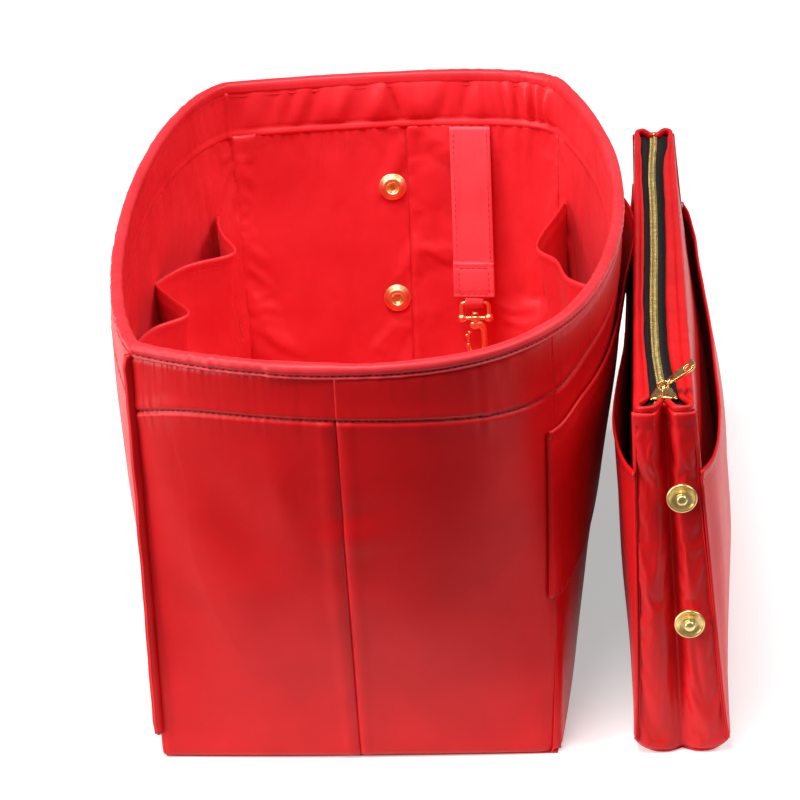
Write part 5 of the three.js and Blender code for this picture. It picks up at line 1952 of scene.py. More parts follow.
@dataclass
class Clasp:
    """The small swivel clasp: an eye with ball ends, a hook and its gate."""

    eye_width: float = 12.0
    eye_height: float = 7.4
    collar_z: float = 56.9

    def at(self, x: float, z: float) -> tuple[float, float, float]:
        """Returns a place beside the clasp's axis, in millimetres."""
        return (HANG.x + x, HANG.y, z)

    def spun(self, name: str, profile: Sequence[tuple[float, float]], steps: int) -> bpy.types.Mesh:
        """Returns a turned part on the swivel's axis, at its collar."""
        mesh = turned(name, profile, steps)
        mesh.transform(facing(self.at(0, self.collar_z), (0, 0, 1)))
        return mesh

    def drawn(
        self, name: str, knots: Sequence[tuple[float, float]], count: int,
        widths: Sequence[tuple[float, float]], sides: int, flatness: float = 1.0,
    ) -> bpy.types.Mesh:
        """Sweeps a section of changing width along a curve.

        Args:
            name: the mesh's name.
            knots: X beside the clasp's axis and Z of the points that the curve passes through.
            count: how many points the curve gets.
            widths: shares of the way along it and the section's radii there.
            sides: how many sides the section has.
            flatness: the section's second radius, as a share of its first.

        Returns:
            The mesh.
        """
        radii = np.interp(np.linspace(0, 1, count), *zip(*widths))
        path = curve_through([self.at(x, z) for x, z in knots], count)
        return tube(name, path, radii, sides, flatness=flatness)

    def finish(self, meshes: Sequence[bpy.types.Mesh], body: Body) -> None:
        """Makes one of the clasp's pieces, which is named after the body that it moves as."""
        mesh = joined(f"gold_{body.value}", meshes)
        Piece(mesh, CLASP_GOLD, body, Slot.GOLD, [body.value])

    def make_eye(self) -> None:
        """Makes the eye: a flat ring with a ball at each lower corner and a collar below."""
        half, top, low = self.eye_width / 2, HANG.top, HANG.top - self.eye_height
        corner = 1.4
        knots = [
            (-half + corner, top), (0, top + 0.05), (half - corner, top), (half, top - corner),
            (half, low + corner), (half - corner, low), (0, low), (-half + corner, low),
            (-half, low + corner), (-half, top - corner),
        ]
        path = curve_through([self.at(x, z) for x, z in knots], 72, closed=True)
        ring = tube("ring", path, 0.9, 14, True)
        balls = [ball("end", 2.0, self.at(hand * half, low)) for hand in (-1, 1)]
        profile = [
            (1.15, -1.3), (1.8, -1.3), (2.1, -0.95), (2.15, -0.4), (1.9, -0.1),
            (2.15, 0.25), (2.1, 0.95), (1.7, 1.3), (1.15, 1.3), (1.15, -1.3),
        ]
        self.finish([ring, *balls, self.spun("collar", profile, 40)], Body.EYE)

    def make_hook(self) -> None:
        """Makes the hook: a stem with a head, a shoulder and a round hooked nose."""
        top = self.collar_z - 1.6
        profile = [(0, 2.9), (1.2, 2.85), (1.4, 2.5), (1.35, 1.95), (0.75, 1.75), (0.75, -2.2), (0, -2.2)]
        stem = self.spun("stem", profile, 28)
        bow, radius = top - 12.3, 3.6
        knots = [(0.0, top - 0.8), (1.9, top - 1.6), (3.3, top - 3.6), (radius, top - 6.5), (radius, bow)]
        turns = np.radians([-30, -60, -90, -120, -150, -180])
        knots += [(radius * math.cos(turn), bow + radius * math.sin(turn)) for turn in turns]
        knots.append((-radius, bow + 1.8))
        widths = [(0, 1.9), (0.12, 1.7), (0.3, 1.25), (0.75, 1.15), (0.93, 1.1), (1, 0.7)]
        body = self.drawn("body", knots, 80, widths, 16, flatness=1.05)
        shoulder = ball("shoulder", 2.3, self.at(-0.2, top - 1.9), (1.15, 0.58, 0.9))
        self.finish([stem, body, shoulder], Body.HOOK)

    def make_gate(self) -> None:
        """Makes the gate: a leaf from the shoulder to the nose, with a thumb ball."""
        low, high = 45.45, 50.2
        knots = [(-2.75, high + 0.2), (-3.3, high - 1.2), (-3.6, low + 1.5), (-3.6, low)]
        leaf = self.drawn("leaf", knots, 30, [(0, 1.0), (0.2, 0.75), (1, 0.6)], 12)
        thumb = ball("thumb", 0.75, self.at(-4.25, 48.4), (0.9, 1.0, 1.2))
        self.finish([leaf, thumb], Body.GATE)

    def build(self) -> None:
        """Makes the clasp's three pieces."""
        self.make_eye()
        self.make_hook()
        self.make_gate()


# The pouch


@dataclass(frozen=True)
class PouchForm:
    """The form of the zip pouch in its own frame, and its place, in millimetres."""

    length: float = 305.0
    height: float = 139.0
    x: float = 118.5
    y: float = 2.5
    lean: float = 5.0
    yaw: float = 0.0227
    base_half: float = 15.0
    near_half: float = 10.8
    far_half: float = 8.2
    taper: float = 0.8
    left_belly: float = 3.0
    right_belly: float = 5.5
    flare: float = 3.2

    def turn_to_world(self, ways: Array | Sequence[float]) -> Array:
        """Returns ways in the organizer's frame."""
        cos, sin = math.cos(self.yaw), math.sin(self.yaw)
        x, y, z = np.moveaxis(np.asarray(ways, float), -1, 0)
        return columns_of(cos * x - sin * y, sin * x + cos * y, z)

    def to_world(self, points: Array | Sequence[float]) -> Array:
        """Returns points in the organizer's frame."""
        return self.turn_to_world(points) + np.array([self.x, self.y, 0.0])

    def lift(self, side: Array, u: Array, z: Array) -> Array:
        """Returns how far the soft foot's corners lie off the floor at shares across and along it."""
        end = np.minimum(u, 1 - u) * self.length
        return 4.2 * np.abs(side) ** 5 * np.exp(-((end / 11) ** 2)) * np.exp(-((z / 12) ** 2))

    def half_width(self, u: Array, v: Array) -> Array:
        """Returns half the pouch's width."""
        top = lerp(self.near_half, self.far_half, u)
        return lerp(self.base_half, top, np.maximum(v, 0) ** self.taper)

    def spread(self, hand: int, u: Array, v: Array) -> Array:
        """Returns how far a side stands out at its foot, where the soft pouch sags."""
        share = 1.0 if hand < 0 else 0.3
        return self.flare * share * (1 - 0.5 * u) * np.clip(1 - v, 0, 1) ** 1.6

    def side(self, hand: int, u: Array, v: Array, out: Array) -> Array:
        """Reads points off a side of the pouch.

        Args:
            hand: -1 for the left side and 1 for the right.
            u: shares along it.
            v: shares up it.
            out: how far off it, in millimetres.

        Returns:
            Points in the organizer's frame.
        """
        belly = self.left_belly if hand < 0 else self.right_belly
        swell = belly * np.sin(math.pi * u) * np.sin(math.pi * v)
        x = hand * (self.half_width(u, v) + self.spread(hand, u, v) + swell + out) - self.lean * v
        z = v * self.height
        return self.to_world(columns_of(x, (u - 0.5) * self.length, z + self.lift(1, u, z)))

    def crease(self, share: Array, v: Array) -> Array:
        """Returns how far a gusset lies inside the pouch's end, at shares across and up it."""
        deep = lerp(4.6, 8.0, ramp(v, 0.78, 0.97)) * lerp(0.35, 1.0, ramp(v, 0.0, 0.3))
        fold = deep * np.exp(-(((share - 0.5) / 0.085) ** 2))
        return fold - 1.6 * np.sin(math.pi * np.abs(2 * share - 1)) + 1.6


POUCH = PouchForm()
ENDS = ((-1, "near"), (1, "far"))
HANDS = ((-1, "left"), (1, "right"))
STUD_LEVELS = {"upper": 105.8, "lower": 54.8}
GUSSET_FOLDS = (
    Fold((-10, 129), (-3, 113), 2.0, 1.0),
    Fold((-11, 120), (-5, 106), 1.8, -1.0),
    Fold((4, 131), (9, 116), 2.2, 0.9),
    Fold((9, 112), (6, 98), 2.2, -0.9),
    Fold((-8, 84), (-6, 40), 2.6, 0.9),
    Fold((7, 84), (8, 30), 2.6, 0.9),
    Fold((-9, 22), (-4, 4), 2.4, -1.0),
    Fold((4, 24), (9, 6), 2.4, 1.0),
)


@dataclass
class PouchCloth:
    """The pouch's panels, gussets, base and slip pockets."""

    pitch: float = 1.6
    over: tuple[float, float] = (1.2, 1.0)
    hem: float = 133.0
    slip_off: float = 0.75
    gusset: tuple[float, float] = (44.0, 138.0)
    gusset_low: float = 0.9
    gusset_rise: float = 138.3
    gusset_hem: float = 133.2
    left_mouth: tuple[tuple[float, float], ...] = (
        (0, 0), (0.05, 3.4), (0.1, 5.4), (0.17, 6.5), (0.27, 4.6), (0.4, 1.6), (0.6, 0.8), (0.8, 0.6),
        (1, 0),
    )
    right_mouth: tuple[tuple[float, float], ...] = (
        (0, 0), (0.05, 3.4), (0.12, 5.6), (0.22, 6.0), (0.36, 4.4), (0.55, 2.8), (0.75, 1.8), (0.92, 0.8),
        (1, 0),
    )

    def panel_surface(self, hand: int, s: Array, t: Array) -> Array:
        """Returns a side panel's points."""
        folds = Relief(121 + hand, swell=1.2)
        u = lerp(0.003, 0.997, s)
        v = lerp(0.0065, 1.0, t)
        x, z = u * POUCH.length, v * POUCH.height
        out = folds.broad_folds(x, z) * np.sin(math.pi * np.clip(t, 0, 1)) ** 0.7
        out = out - 0.5 * hump(z, self.hem, 1.0) + 0.5 * hump(z, 137.2, 1.8)
        out = out + folds.gathered(x, z, self.hem, 6.0)
        return POUCH.side(hand, u, v, out - 0.1)

    def side_mesh(
        self, name: str, hand: int, surface: Callable[[int, Array, Array], Array],
        size: tuple[float, float],
    ) -> bpy.types.Mesh:
        """Returns a sheet of a side, which faces out.

        Args:
            name: its name.
            hand: -1 for the left side and 1 for the right.
            surface: gives its points for the side and the shares along and up it.
            size: its flat size in millimetres.

        Returns:
            The mesh.
        """
        steps = (int(size[0] / self.pitch), int(size[1] / self.pitch))
        return flipped(mapped_grid(name, steps, lambda s, t: surface(hand, s, t), size), hand < 0)

    def make_panel(self, hand: int, name: str) -> None:
        """Makes a side panel.

        Args:
            hand: -1 for the left side and 1 for the right.
            name: its side's name.
        """
        size = (POUCH.length, POUCH.height)
        mesh = self.side_mesh(f"cloth_pouch_panel_{name}", hand, self.panel_surface, size)
        piece = Piece(mesh, SATIN, Body.POUCH, Slot.SATIN, [f"pouch_panel_{name}"])
        piece.thicken(0.6).as_sheet(size, "stretched", ["cloth_pouch_base"])

    def slip_surface(self, hand: int, s: Array, t: Array, sunk: float = 0.0) -> Array:
        """Returns a slip pocket's points."""
        folds = Relief(141 + hand, swell=1.6)
        high = 116.0 - (9.0 * ramp(s, 0.72, 1.0) if hand > 0 else 0)
        z = lerp(2.2, high, t)
        stand = np.maximum(read_curve(self.left_mouth if hand < 0 else self.right_mouth, s), 0) * t**1.3
        x = s * POUCH.length
        loose = np.sin(math.pi * t * 0.85) * ramp(np.minimum(s, 1 - s), 0, 0.05)
        swell = ((0.6 if hand < 0 else 1.6) + folds.broad_folds(x, z)) * loose
        out = lerp(self.slip_off, 1.3, ramp(s, 0, 0.03)) + stand + swell
        edge, hem = high - z, 4.6
        out = out + 0.45 * hump(edge, 1.2, 1.3) - 0.35 * hump(edge, hem, 0.9)
        out = np.maximum(out + folds.gathered(x, edge, hem, 5.0), self.slip_off) - sunk
        return POUCH.side(hand, np.clip(s, 0.0012, 0.9988), z / POUCH.height, out)

    def make_slip(self, hand: int, name: str) -> None:
        """Makes a slip pocket and its stitches.

        Args:
            hand: -1 for the left side and 1 for the right.
            name: its side's name.
        """
        size = (POUCH.length + 4, 114.0)
        mesh = self.side_mesh(f"cloth_pouch_slip_pocket_{name}", hand, self.slip_surface, size)
        piece = Piece(mesh, SATIN, Body.POUCH, Slot.SATIN, [f"pouch_slip_pocket_{name}"])
        piece.thicken(0.8).as_sheet(size, "stretched", [f"cloth_pouch_panel_{name}"])
        s = np.linspace(0.006, 0.994, 420)
        points = self.slip_surface(hand, s, np.full_like(s, 0.96), sunk=-0.02)
        way = POUCH.turn_to_world(np.tile([float(hand), 0.0, 0.0], (len(s), 1)))
        Stitching().sew(f"slip_pocket_{name}_stitches", [(points, way)], Body.POUCH)

    def gusset_surface(self, end: int, s: Array, t: Array, sunk: float = 0.0) -> Array:
        """Returns a gusset's points."""
        folds = Relief(161 + end, swell=1.5)
        z = lerp(self.gusset_low, 139.2, t)
        u = np.full_like(s, 0.0 if end < 0 else 1.0)
        v = z / POUCH.height
        half = POUCH.half_width(u, v) - 0.15
        side = 2 * s - 1
        reach = (half + self.over[0] + POUCH.spread(-1, u, v), half + self.over[1] + POUCH.spread(1, u, v))
        x = lerp(-reach[0], reach[1], s) - POUCH.lean * v
        out = folds.broad_folds(x * 1.9, z * 1.6) * (1 - side**6)
        out = out * np.sin(math.pi * np.clip(t, 0.02, 0.98)) ** 0.4
        for fold in GUSSET_FOLDS:
            out = out + fold.at(side * 12, z)
        out = out + 0.9 * folds.fine(side * 2.2, 3.0) * hump(z, 3.0, 7.0) * (1 - side**6)
        out = out - 0.4 * hump(z, self.gusset_hem, 0.8) + 0.3 * hump(z, 137.0, 2.0)
        out = out + folds.gathered(x, z, self.gusset_hem, 5.0)
        out = out - 0.5 * np.abs(side) ** 14 - 1.4 * hump(z, 0, 2.2)
        depth = POUCH.crease(s, v) - np.clip(out, -1.8, 1.6) + sunk
        y = end * (POUCH.length / 2 - depth)
        return POUCH.to_world(columns_of(x, y, z + POUCH.lift(side, u, z)))

    def make_gusset(self, end: int, name: str) -> None:
        """Makes an end gusset and its hem's stitches.

        Args:
            end: -1 for the near end and 1 for the far end.
            name: the end's name.
        """
        size = self.gusset

        def place(s: Array, t: Array) -> Array:
            """Returns the gusset's points."""
            return self.gusset_surface(end, s, t)

        mesh = flipped(mapped_grid(f"cloth_pouch_gusset_{name}", (64, 100), place, size), end > 0)
        shares = shares_of(mesh, size)
        off, z = (shares[:, 0] - 0.5) * 26, shares[:, 1] * self.gusset_rise + self.gusset_low
        held = (np.abs(off) > 12.4) | (np.abs(off) < 1.2) | (z < 1.6) | (z > 132.5)
        for level in STUD_LEVELS.values():
            held |= np.hypot(off, z - level) < 8
        FIRM_DRAPE.settle(mesh, held, -0.6, 0.7)
        piece = Piece(mesh, SATIN, Body.POUCH, Slot.SATIN, [f"pouch_gusset_{name}"])
        piece.thicken(0.6).as_sheet(size, "folded", ["cloth_pouch_base"])
        lines = []
        for low, high in ((0.06, 0.44), (0.56, 0.94)):
            s = np.linspace(low, high, 60)
            t = np.full_like(s, (self.gusset_hem - self.gusset_low) / self.gusset_rise)
            way = POUCH.turn_to_world(np.tile([0.0, float(end), 0.0], (60, 1)))
            lines.append((self.gusset_surface(end, s, t, sunk=-0.05), way))
        Stitching(length=1.9, gap=0.6, thickness=0.42).sew(f"gusset_{name}_stitches", lines, Body.POUCH)

    def make_base(self) -> None:
        """Makes the pouch's base."""

        def place(s: Array, t: Array) -> Array:
            """Returns the base's points."""
            low = 0 * s
            left, right = POUCH.spread(-1, t, low), POUCH.spread(1, t, low)
            x = lerp(0.5 - POUCH.base_half - left, POUCH.base_half + right - 0.5, s)
            y = (t - 0.5) * (POUCH.length - 2 * POUCH.crease(s, low) - 2.4)
            return POUCH.to_world(columns_of(x, y, 0.2 + POUCH.lift(2 * s - 1, t, low)))

        size = (2 * POUCH.base_half, POUCH.length)
        mesh = flipped(mapped_grid("cloth_pouch_base", (14, 120), place, size))
        Piece(mesh, SATIN, Body.POUCH, Slot.SATIN, ["pouch_base"]).thicken(0.6).as_sheet(size, "laid", [])

    def build(self) -> None:
        """Makes the pouch's cloth."""
        for hand, name in HANDS:
            self.make_panel(hand, name)
            self.make_slip(hand, name)
        for end, name in ENDS:
            self.make_gusset(end, name)
        self.make_base()


@dataclass
class Zip:
    """The zip: its lips, tapes, teeth, stops, slider and puller."""

    z: float = 140.0
    pitch: float = 1.6
    thickness: float = 2.2
    slider_from_end: float = 14.0
    slider_length: float = 9.6
    row_near: float = -148.3
    row_far: float = 147.5
    tooth_reach: float = 0.62
    lip_step: float = 1.5
    tape_width: float = 16.0
    bridge_z: float = 144.15
    tilt: float = 0.66
    roll: float = 0.34
    askew: float = 0.12
    wander: tuple[tuple[float, float], ...] = (
        (-155, -0.2), (-140, -0.3), (-126, -0.9), (-112, -1.7), (-90, -2.5), (-45, -2.5), (5, -1.7),
        (55, -1.3), (95, -1.5), (118, -1.0), (132, -0.4), (150, -0.2), (160, -0.2),
    )

    @property
    def slider_y(self) -> float:
        """Returns the slider's place along the pouch."""
        return -POUCH.length / 2 + self.slider_from_end

    def parting(self, y: Array) -> Array:
        """Returns how far a row of teeth has parted from the middle."""
        length = self.slider_length
        inside = np.clip((self.slider_y + length / 6 - y) / (length / 2), 0, 1)
        beyond = np.clip((self.slider_y - length / 2 - y) / (self.slider_from_end - length / 2), 0, 1)
        return 1.7 * inside + 1.9 * beyond

    def meander(self, y: Array) -> Array:
        """Returns how the zip's line wanders off the pouch's middle."""
        return read_curve(self.wander, y)

    def lip_inner(self, hand: int, y: Array) -> Array:
        """Returns how far a lip's inner edge stays off the zip's line."""
        plain = 3.9 if hand < 0 else 4.7
        return plain + 0.9 * ramp(-y, 105, 140) + 0.3 * ramp(y, 60, 105) + 1.1 * ramp(y, 112, 130)

    def centre(self, y: Array) -> Array:
        """Returns the zip's middle line across the pouch, in the pouch's frame."""
        return -POUCH.lean + self.meander(y)

    def lip_path(self, hand: int) -> Array:
        """Returns the line of a lip's outer edge, from crease to crease, in the pouch's frame."""
        bends = []
        for end, half in ((-1, POUCH.near_half), (1, POUCH.far_half)):
            run = [
                (0.25, 7.6), (1.5, 4.6), (3.0, 1.6), (half * 0.5, 0.3),
                (half - 2.8, 0.1), (half - 0.6, 1.7), (half + 0.1, 4.6), (half + 0.2, 12),
            ]
            bends.append([(x, end * (POUCH.length / 2 - back), 0.0) for x, back in run])
        y = np.linspace(-125, 125, 11)
        straight = columns_of(POUCH.half_width(y / POUCH.length + 0.5, 1.0) + 0.2, y, 0.0)
        line = evenly(curve_through([*bends[0], *straight, *reversed(bends[1])], 900), self.lip_step)
        line[:, 0] = hand * line[:, 0]
        return line

    def lip_mesh(self, hand: int, name: str) -> bpy.types.Mesh:
        """Returns a lip: a soft double roll beside the zip that turns round onto the gussets."""
        line = self.lip_path(hand)
        count = len(line)
        along = unit(np.gradient(line, axis=0))
        inward = columns_of(-hand * along[:, 1], hand * along[:, 0], 0 * along[:, 0])
        side_share = ramp(POUCH.length / 2 - np.abs(line[:, 1]), 3.5, 13.0)
        outer = hand * line[:, 0] - hand * self.meander(line[:, 1])
        width = lerp(1.9, np.maximum(outer - self.lip_inner(hand, line[:, 1]), 2.2), side_share)
        ripple = Ripple(171 + hand)

        def place(s: Array, t: Array) -> Array:
            """Returns the lip's points round its section."""
            index = np.rint(s * (count - 1)).astype(int)
            turn = 2 * math.pi * t
            y = line[index, 1]
            wide = width[index]
            across = 0.5 - 0.5 * np.cos(turn)
            shape = np.sqrt(np.abs(np.sin(turn))) * np.sign(np.sin(turn))
            groove = 1.5 * hump(across, 0.55, 0.11) * ramp(wide, 2.2, 3.4)
            rise = np.where(shape > 0, shape * (1.55 - groove), shape * 1.1)
            wave = 0.3 * ripple(y / 13 + 40, 2.0) + 0.12 * ripple(y / 5, 6.0)
            x = line[index] + inward[index] * (across * wide)[:, None]
            x[:, 0] += -POUCH.lean + 0.35 * ripple(y / 18, 9.0) * side_share[index]
            return POUCH.to_world(columns_of(x[:, 0], x[:, 1], 140.1 + rise + wave))

        flat = (count * self.lip_step, 14)
        return capped(mapped_grid(f"cloth_{name}", (count - 1, 26), place, flat, weld=True))

    def tape_surface(self, hand: int, s: Array, t: Array) -> Array:
        """Returns a tape's points."""
        y = lerp(self.row_near - 0.5, self.row_far + 1.5, t)
        u = y / POUCH.length + 0.5
        inner = 0.6 + self.parting(y)
        outer = POUCH.half_width(u, np.ones_like(u)) - 1.0 - hand * self.meander(y)
        x = self.centre(y) + hand * lerp(inner, outer, s)
        cord = 0.75 * hump(s, 0.14, 0.06)
        sag = -0.5 * s + 0.25 * Ripple(181 + hand)(y / 22, s * 2)
        drop = 2.0 * ramp(-y, 143.5, 149) * s
        return POUCH.to_world(columns_of(x, y, self.z - 1.25 + cord + sag - drop))

    def make_tape(self, hand: int, name: str) -> None:
        """Makes a tape, of which only the part beside the teeth shows.

        Args:
            hand: -1 for the left tape and 1 for the right.
            name: its side's name.
        """
        size = (self.tape_width, self.row_far - self.row_near)
        shows = 7.4 if hand < 0 else 9.6

        def place(s: Array, t: Array) -> Array:
            """Returns the tape's points."""
            return self.tape_surface(hand, s, t)

        mesh = flipped(mapped_grid(f"tape_{name}", (14, 200), place, size), hand < 0)
        piece = Piece(mesh, ZIP_TAPE, Body.POUCH, Slot.TAPE, [f"zip_tape_{name}"])
        piece.thicken(0.5).as_sheet(size, "stretched", [f"cloth_zip_lip_{name}"], area=shows * size[1])

    def tooth(self) -> bpy.types.Mesh:
        """Returns one tooth, which points along X."""
        work = bmesh.new()
        bmesh.ops.create_cube(work, size=1)
        bmesh.ops.scale(work, vec=(2.0 * MM, 0.95 * MM, self.thickness * MM), verts=work.verts)
        front = [point for point in work.verts if point.co.x > 0]
        bmesh.ops.scale(work, vec=(1, 0.8, 0.75), verts=front)
        round_edges(work, list(work.edges), 0.2, steps=1)
        return mesh_from("tooth", work)

    def row_line(self, hand: int, y: float) -> float:
        """Returns where a row of teeth runs across the pouch, in the pouch's frame."""
        return float(self.centre(y) + hand * self.parting(y))

    def make_teeth(self, hand: int, name: str) -> None:
        """Makes a row of teeth.

        Args:
            hand: -1 for the left row and 1 for the right.
            name: its side's name.
        """
        copies = Copies(self.tooth())
        start = self.row_near + (0.8 if hand < 0 else 0.8 + self.pitch / 2)
        for y in np.arange(start, self.row_far - 0.6, self.pitch):
            run = unit(np.array([self.row_line(hand, y + 1) - self.row_line(hand, y - 1), 2.0, 0.0]))
            inward = -hand * np.array([run[1], -run[0], 0.0])
            x = float(self.centre(y) + hand * (self.parting(y) + self.tooth_reach))
            at = POUCH.to_world((x, y, self.z - self.thickness / 2))
            copies.add(at, POUCH.turn_to_world(inward), np.array([0.0, 0.0, 1.0]))
        mesh = copies.mesh(f"gold_zip_teeth_{name}")
        Piece(mesh, TEETH_GOLD, Body.POUCH, Slot.GOLD, [f"zip_teeth_{name}"])

    def make_stops(self) -> None:
        """Makes the two top stops and the bottom stop."""
        deep, high, beyond = 1.3, 1.4, 1.6
        for name, half, aside, y in (
            ("top_stop_left", 1.1, -5.1, self.row_near - beyond),
            ("top_stop_right", 1.1, 5.1, self.row_near - beyond),
            ("bottom_stop", 2.3, 0.0, self.row_far + beyond),
        ):
            outline = [(-half, -deep), (half, -deep), (half, deep), (-half, deep)]
            mesh = plate(f"gold_zip_{name}", outline, -high, high, 0.45)
            at = POUCH.to_world((-POUCH.lean + aside, y, self.z - self.thickness / 2))
            mesh.transform(facing(at, (0, 0, 1)))
            Piece(mesh, GOLD, Body.POUCH, Slot.GOLD, [f"zip_{name}"])

    def make_slider(self) -> None:
        """Makes the slider: two plates with turned edges, a wedge between and a bridge on top."""
        half = self.slider_length / 2
        left = [
            (-3.9, -half), (-4.6, -half + 0.9), (-4.7, -1.4), (-3.9, 0.6), (-3.4, 1.8),
            (-3.2, half - 0.7), (-2.5, half),
        ]
        right = [(-x, y) for x, y in reversed(left)]
        outline = [*left, *right, (2.4, -half - 0.1), (0, -half + 0.9), (-2.4, -half - 0.1)]
        high, low = self.z + 0.3, self.z - self.thickness - 0.3
        meshes = [plate("top", outline, high, high + 1.0, 0.4)]
        meshes.append(plate("under", outline, low - 0.8, low, 0.3))
        for hand in (-1, 1):
            wing = [(-half + 0.5, 4.35), (-1.4, 4.4), (0.6, 3.7), (1.8, 3.2), (half - 0.6, 3.05)]
            line = np.array([(hand * x, y, high - 0.05) for y, x in wing])
            meshes.append(tube("edge", evenly(curve_through(line, 60), 0.4), 0.55, 10))
        wedge = [(0, -half + 0.5), (0.6, -half + 1.8), (0, -0.9), (-0.6, -half + 1.8)]
        meshes.append(plate("wedge", wedge, low - 0.2, high + 0.2, 0.1))
        rise = [(-3.0, 0.7), (-2.9, 2.6), (-2.0, 3.9), (0, 4.3), (2.0, 3.9), (2.9, 2.6), (3.0, 0.7)]
        arch = [(0, y, high + up) for y, up in rise]
        meshes.append(tube("bridge", evenly(curve_through(arch, 60), 0.35), 0.72, 12))
        mesh = joined("gold_zip_slider", meshes)
        mesh.transform(self.slider_place(0.0) @ Matrix.Rotation(POUCH.yaw, 4, "Z"))
        Piece(mesh, GOLD, Body.SLIDER, Slot.GOLD, ["zip_slider"])

    def slider_place(self, z: float) -> Matrix:
        """Returns the move to the slider's middle at a height in millimetres."""
        return Matrix.Translation(Vector(POUCH.to_world((-POUCH.lean, self.slider_y, z))) * MM)

    def puller_mesh(self) -> bpy.types.Mesh:
        """Returns the puller, drawn level and pointing right from the bar that it swings on."""
        radius, thick = 1.75, 1.0
        turns = np.linspace(0, 2 * math.pi, 12, endpoint=False)
        ring = [(radius * math.cos(turn), 0, radius * math.sin(turn)) for turn in turns]
        eye = tube("eye", curve_through(ring, 40, True), 0.5, 10, True)
        count = 36
        turn = 2 * math.pi * np.arange(count) / count
        x, y = np.cos(turn), np.sin(turn)
        outer = (8.3 + 6.2 * squared(x, 0.7), lerp(1.5, 3.0, (x + 1) / 2) * squared(y, 0.6))
        inner = (11.2 + 1.5 * x, 1.35 * y)
        work = bmesh.new()
        loops = []
        for line in (outer, inner):
            points = [work.verts.new(point * MM) for point in columns_of(*line, -thick / 2)]
            loops += [work.edges.new((points[i], points[(i + 1) % count])) for i in range(count)]
        bmesh.ops.bridge_loops(work, edges=loops)
        raise_faces(work, thick)
        sharp = [edge for edge in work.edges if len(edge.link_faces) == 2 and edge.calc_face_angle() > 1.0]
        round_edges(work, sharp, 0.28)
        tab = mesh_from("tab", work)
        bar = tube("bar", np.array([(13.7, y, 0.45) for y in np.linspace(-1.9, 1.9, 12)]), 0.62, 12)
        neck = ball("neck", 1.15, (2.7, 0, 0.1), (1.0, 1.1, 0.75))
        return joined("gold_zip_puller", [eye, tab, bar, neck])

    def make_puller(self) -> None:
        """Makes the puller, swung up on the slider's bridge."""
        mesh = self.puller_mesh()
        turn = Matrix.Rotation(POUCH.yaw - self.askew, 4, "Z") @ Matrix.Rotation(-self.tilt, 4, "Y")
        turn = turn @ Matrix.Rotation(self.roll, 4, "X")
        mesh.transform(self.slider_place(self.bridge_z) @ turn)
        Piece(mesh, GOLD, Body.PULLER, Slot.GOLD, ["zip_puller"])

    def build(self) -> None:
        """Makes the zip's pieces."""
        for hand, name in HANDS:
            mesh = self.lip_mesh(hand, f"zip_lip_{name}")
            Piece(mesh, SATIN, Body.POUCH, Slot.SATIN, [f"zip_lip_{name}"])
            self.make_tape(hand, name)
            self.make_teeth(hand, name)
        self.make_stops()
        self.make_slider()
        self.make_puller()


# The studio


@dataclass(frozen=True)
class Lamp:
    """A soft square lamp: its place and its side's length in metres, and its power in watts."""

    name: str
    at: Colour
    size: float
    power: float


LAMPS = (
    Lamp("overhead", (-0.25, -0.48, 1.85), 0.8, 31.0),
    Lamp("key", (-2.1, -1.0, 0.5), 0.9, 30.0),
    Lamp("key_high", (-1.5, -0.7, 1.5), 0.8, 20.0),
    Lamp("fill", (1.5, -0.45, 1.5), 0.8, 16.0),
    Lamp("fill_behind", (1.3, 0.5, 1.4), 0.8, 8.0),
)


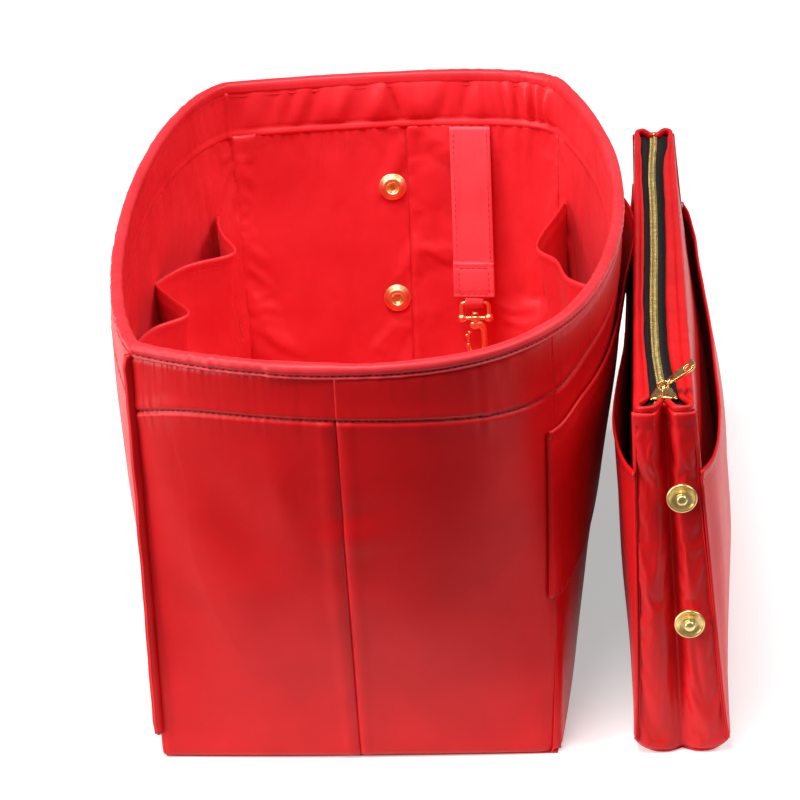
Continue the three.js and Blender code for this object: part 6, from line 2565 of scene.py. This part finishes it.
@dataclass
class Studio:
    """The camera, the lamps and the pale floor."""

    lens: float = 160.3
    camera_at: Colour = (0.1367, -1.3224, 0.6544)
    right: Colour = (0.9959, 0.0751, -0.0511)
    down: Colour = (-0.0169, -0.3991, -0.9168)
    ahead: Colour = (-0.0893, 0.9138, -0.3962)
    lit: Colour = (0.0, 0.0, 0.06)
    front: float = -0.24
    ambient: float = 0.03
    mirrored: float = 0.2
    glow: float = 0.45

    def make_camera(self) -> None:
        """Sets up the camera at the photograph's viewing angle."""
        data = bpy.data.cameras.new("camera")
        data.lens, data.sensor_width = self.lens, 36.0
        data.clip_start, data.clip_end = 0.05, 20.0
        camera = bpy.data.objects.new("camera", data)
        bpy.context.scene.collection.objects.link(camera)
        columns = (Vector(self.right), -Vector(self.down), -Vector(self.ahead))
        turn = Matrix(columns).transposed().to_4x4()
        camera.matrix_world = Matrix.Translation(self.camera_at) @ turn
        bpy.context.scene.camera = camera

    def add_lamp(self, lamp: Lamp) -> None:
        """Adds a lamp that faces the organizer."""
        data = bpy.data.lights.new(lamp.name, "AREA")
        data.shape, data.size, data.energy = "SQUARE", lamp.size, lamp.power
        thing = bpy.data.objects.new(lamp.name, data)
        bpy.context.scene.collection.objects.link(thing)
        turn = (Vector(self.lit) - Vector(lamp.at)).to_track_quat("-Z", "Y").to_matrix().to_4x4()
        thing.matrix_world = Matrix.Translation(lamp.at) @ turn

    def shown(self, tree: bpy.types.NodeTree, low: float = 0.0, mirrored: float = 1.0) -> bpy.types.Node:
        """Adds a node that is 1 where the camera or glass looks.

        Args:
            tree: the material's or the world's nodes.
            low: its value where light is gathered.
            mirrored: its value in a reflection.

        Returns:
            The node.
        """
        path = tree.nodes.new("ShaderNodeLightPath")
        last = None
        rays = (("Is Camera Ray", 1.0), ("Is Transmission Ray", 1.0), ("Is Glossy Ray", mirrored))
        for name, share in rays:
            either = tree.nodes.new("ShaderNodeMath")
            either.operation = "MULTIPLY_ADD"
            either.inputs[1].default_value = share if last else share - low
            either.inputs[2].default_value = low
            tree.links.new(path.outputs[name], either.inputs[0])
            if last:
                tree.links.new(last, either.inputs[2])
            last = either.outputs[0]
        return either

    def make_world(self) -> None:
        """Sets the dim light of the room round the table."""
        world = bpy.data.worlds.new("studio")
        bpy.context.scene.world = world
        world.use_nodes = True
        room = world.node_tree.nodes["Background"]
        room.inputs["Color"].default_value = (1, 1, 1, 1)
        tree = world.node_tree
        strength = self.shown(tree, self.ambient, self.mirrored)
        tree.links.new(strength.outputs[0], room.inputs["Strength"])

    def make_floor(self) -> None:
        """Makes the floor, a white table top whose front edge is just outside the picture."""
        work = bmesh.new()
        bmesh.ops.create_grid(work, x_segments=2, y_segments=2, size=1.0)
        bmesh.ops.translate(work, vec=(0, 1.0 + self.front, -0.0002), verts=work.verts)
        floor = bpy.data.objects.new("floor", mesh_from("floor", work))
        bpy.context.scene.collection.objects.link(floor)
        graph = Graph("pale_floor")
        graph.settle(Roughness=0.8, Specular_IOR_Level=0.1)
        graph.shader.inputs["Base Color"].default_value = (0.72, 0.71, 0.71, 1)
        glow = graph.add("ShaderNodeEmission", Strength=self.glow)
        plain = graph.add("ShaderNodeEmission", Strength=0.0)
        mix = graph.add("ShaderNodeMixShader")
        both = graph.add("ShaderNodeAddShader")
        tree = graph.tree
        tree.links.new(self.shown(tree).outputs[0], mix.inputs["Fac"])
        tree.links.new(plain.outputs[0], mix.inputs[1])
        tree.links.new(glow.outputs[0], mix.inputs[2])
        tree.links.new(graph.shader.outputs[0], both.inputs[0])
        tree.links.new(mix.outputs[0], both.inputs[1])
        tree.links.new(both.outputs[0], graph.output.inputs["Surface"])
        floor.data.materials.append(graph.material)

    def build(self) -> None:
        """Sets up the studio."""
        self.make_camera()
        for lamp in LAMPS:
            self.add_lamp(lamp)
        self.make_world()
        self.make_floor()
        bpy.context.scene.view_settings.view_transform = "Standard"


def main() -> None:
    """Builds the studio and every sub-assembly."""
    logging.basicConfig(level=logging.INFO, format="%(message)s")
    Studio().build()
    WallPadding().build()
    WallShells().build()
    WallLinings().build()
    Rim().build()
    Welt("corner_welt_near_left", Side.NEAR).build()
    Welt("corner_welt_far_left", Side.LEFT).build()
    Base().build()
    OuterPocket().build()
    InnerPockets(
        Side.LEFT, seams=(144, 62, -6, -128), bulges=(26, 20, 17),
        folds=((0, 0), (0.25, 0.5), (0.52, 1), (0.74, 0.34), (1, 0)),
    ).build()
    InnerPockets(
        Side.RIGHT, seams=(140, 32, -50, -112), bulges=(23, 19, 15),
        folds=((0, 0), (0.45, 1), (0.66, 0.72), (0.86, 0.58), (1, 0)), top=115.0, seed=67,
    ).build()
    Snaps().build()
    KeyStrap().build()
    Clasp().build()
    PouchCloth().build()
    Zip().build()


if __name__ == "__main__":
    main()
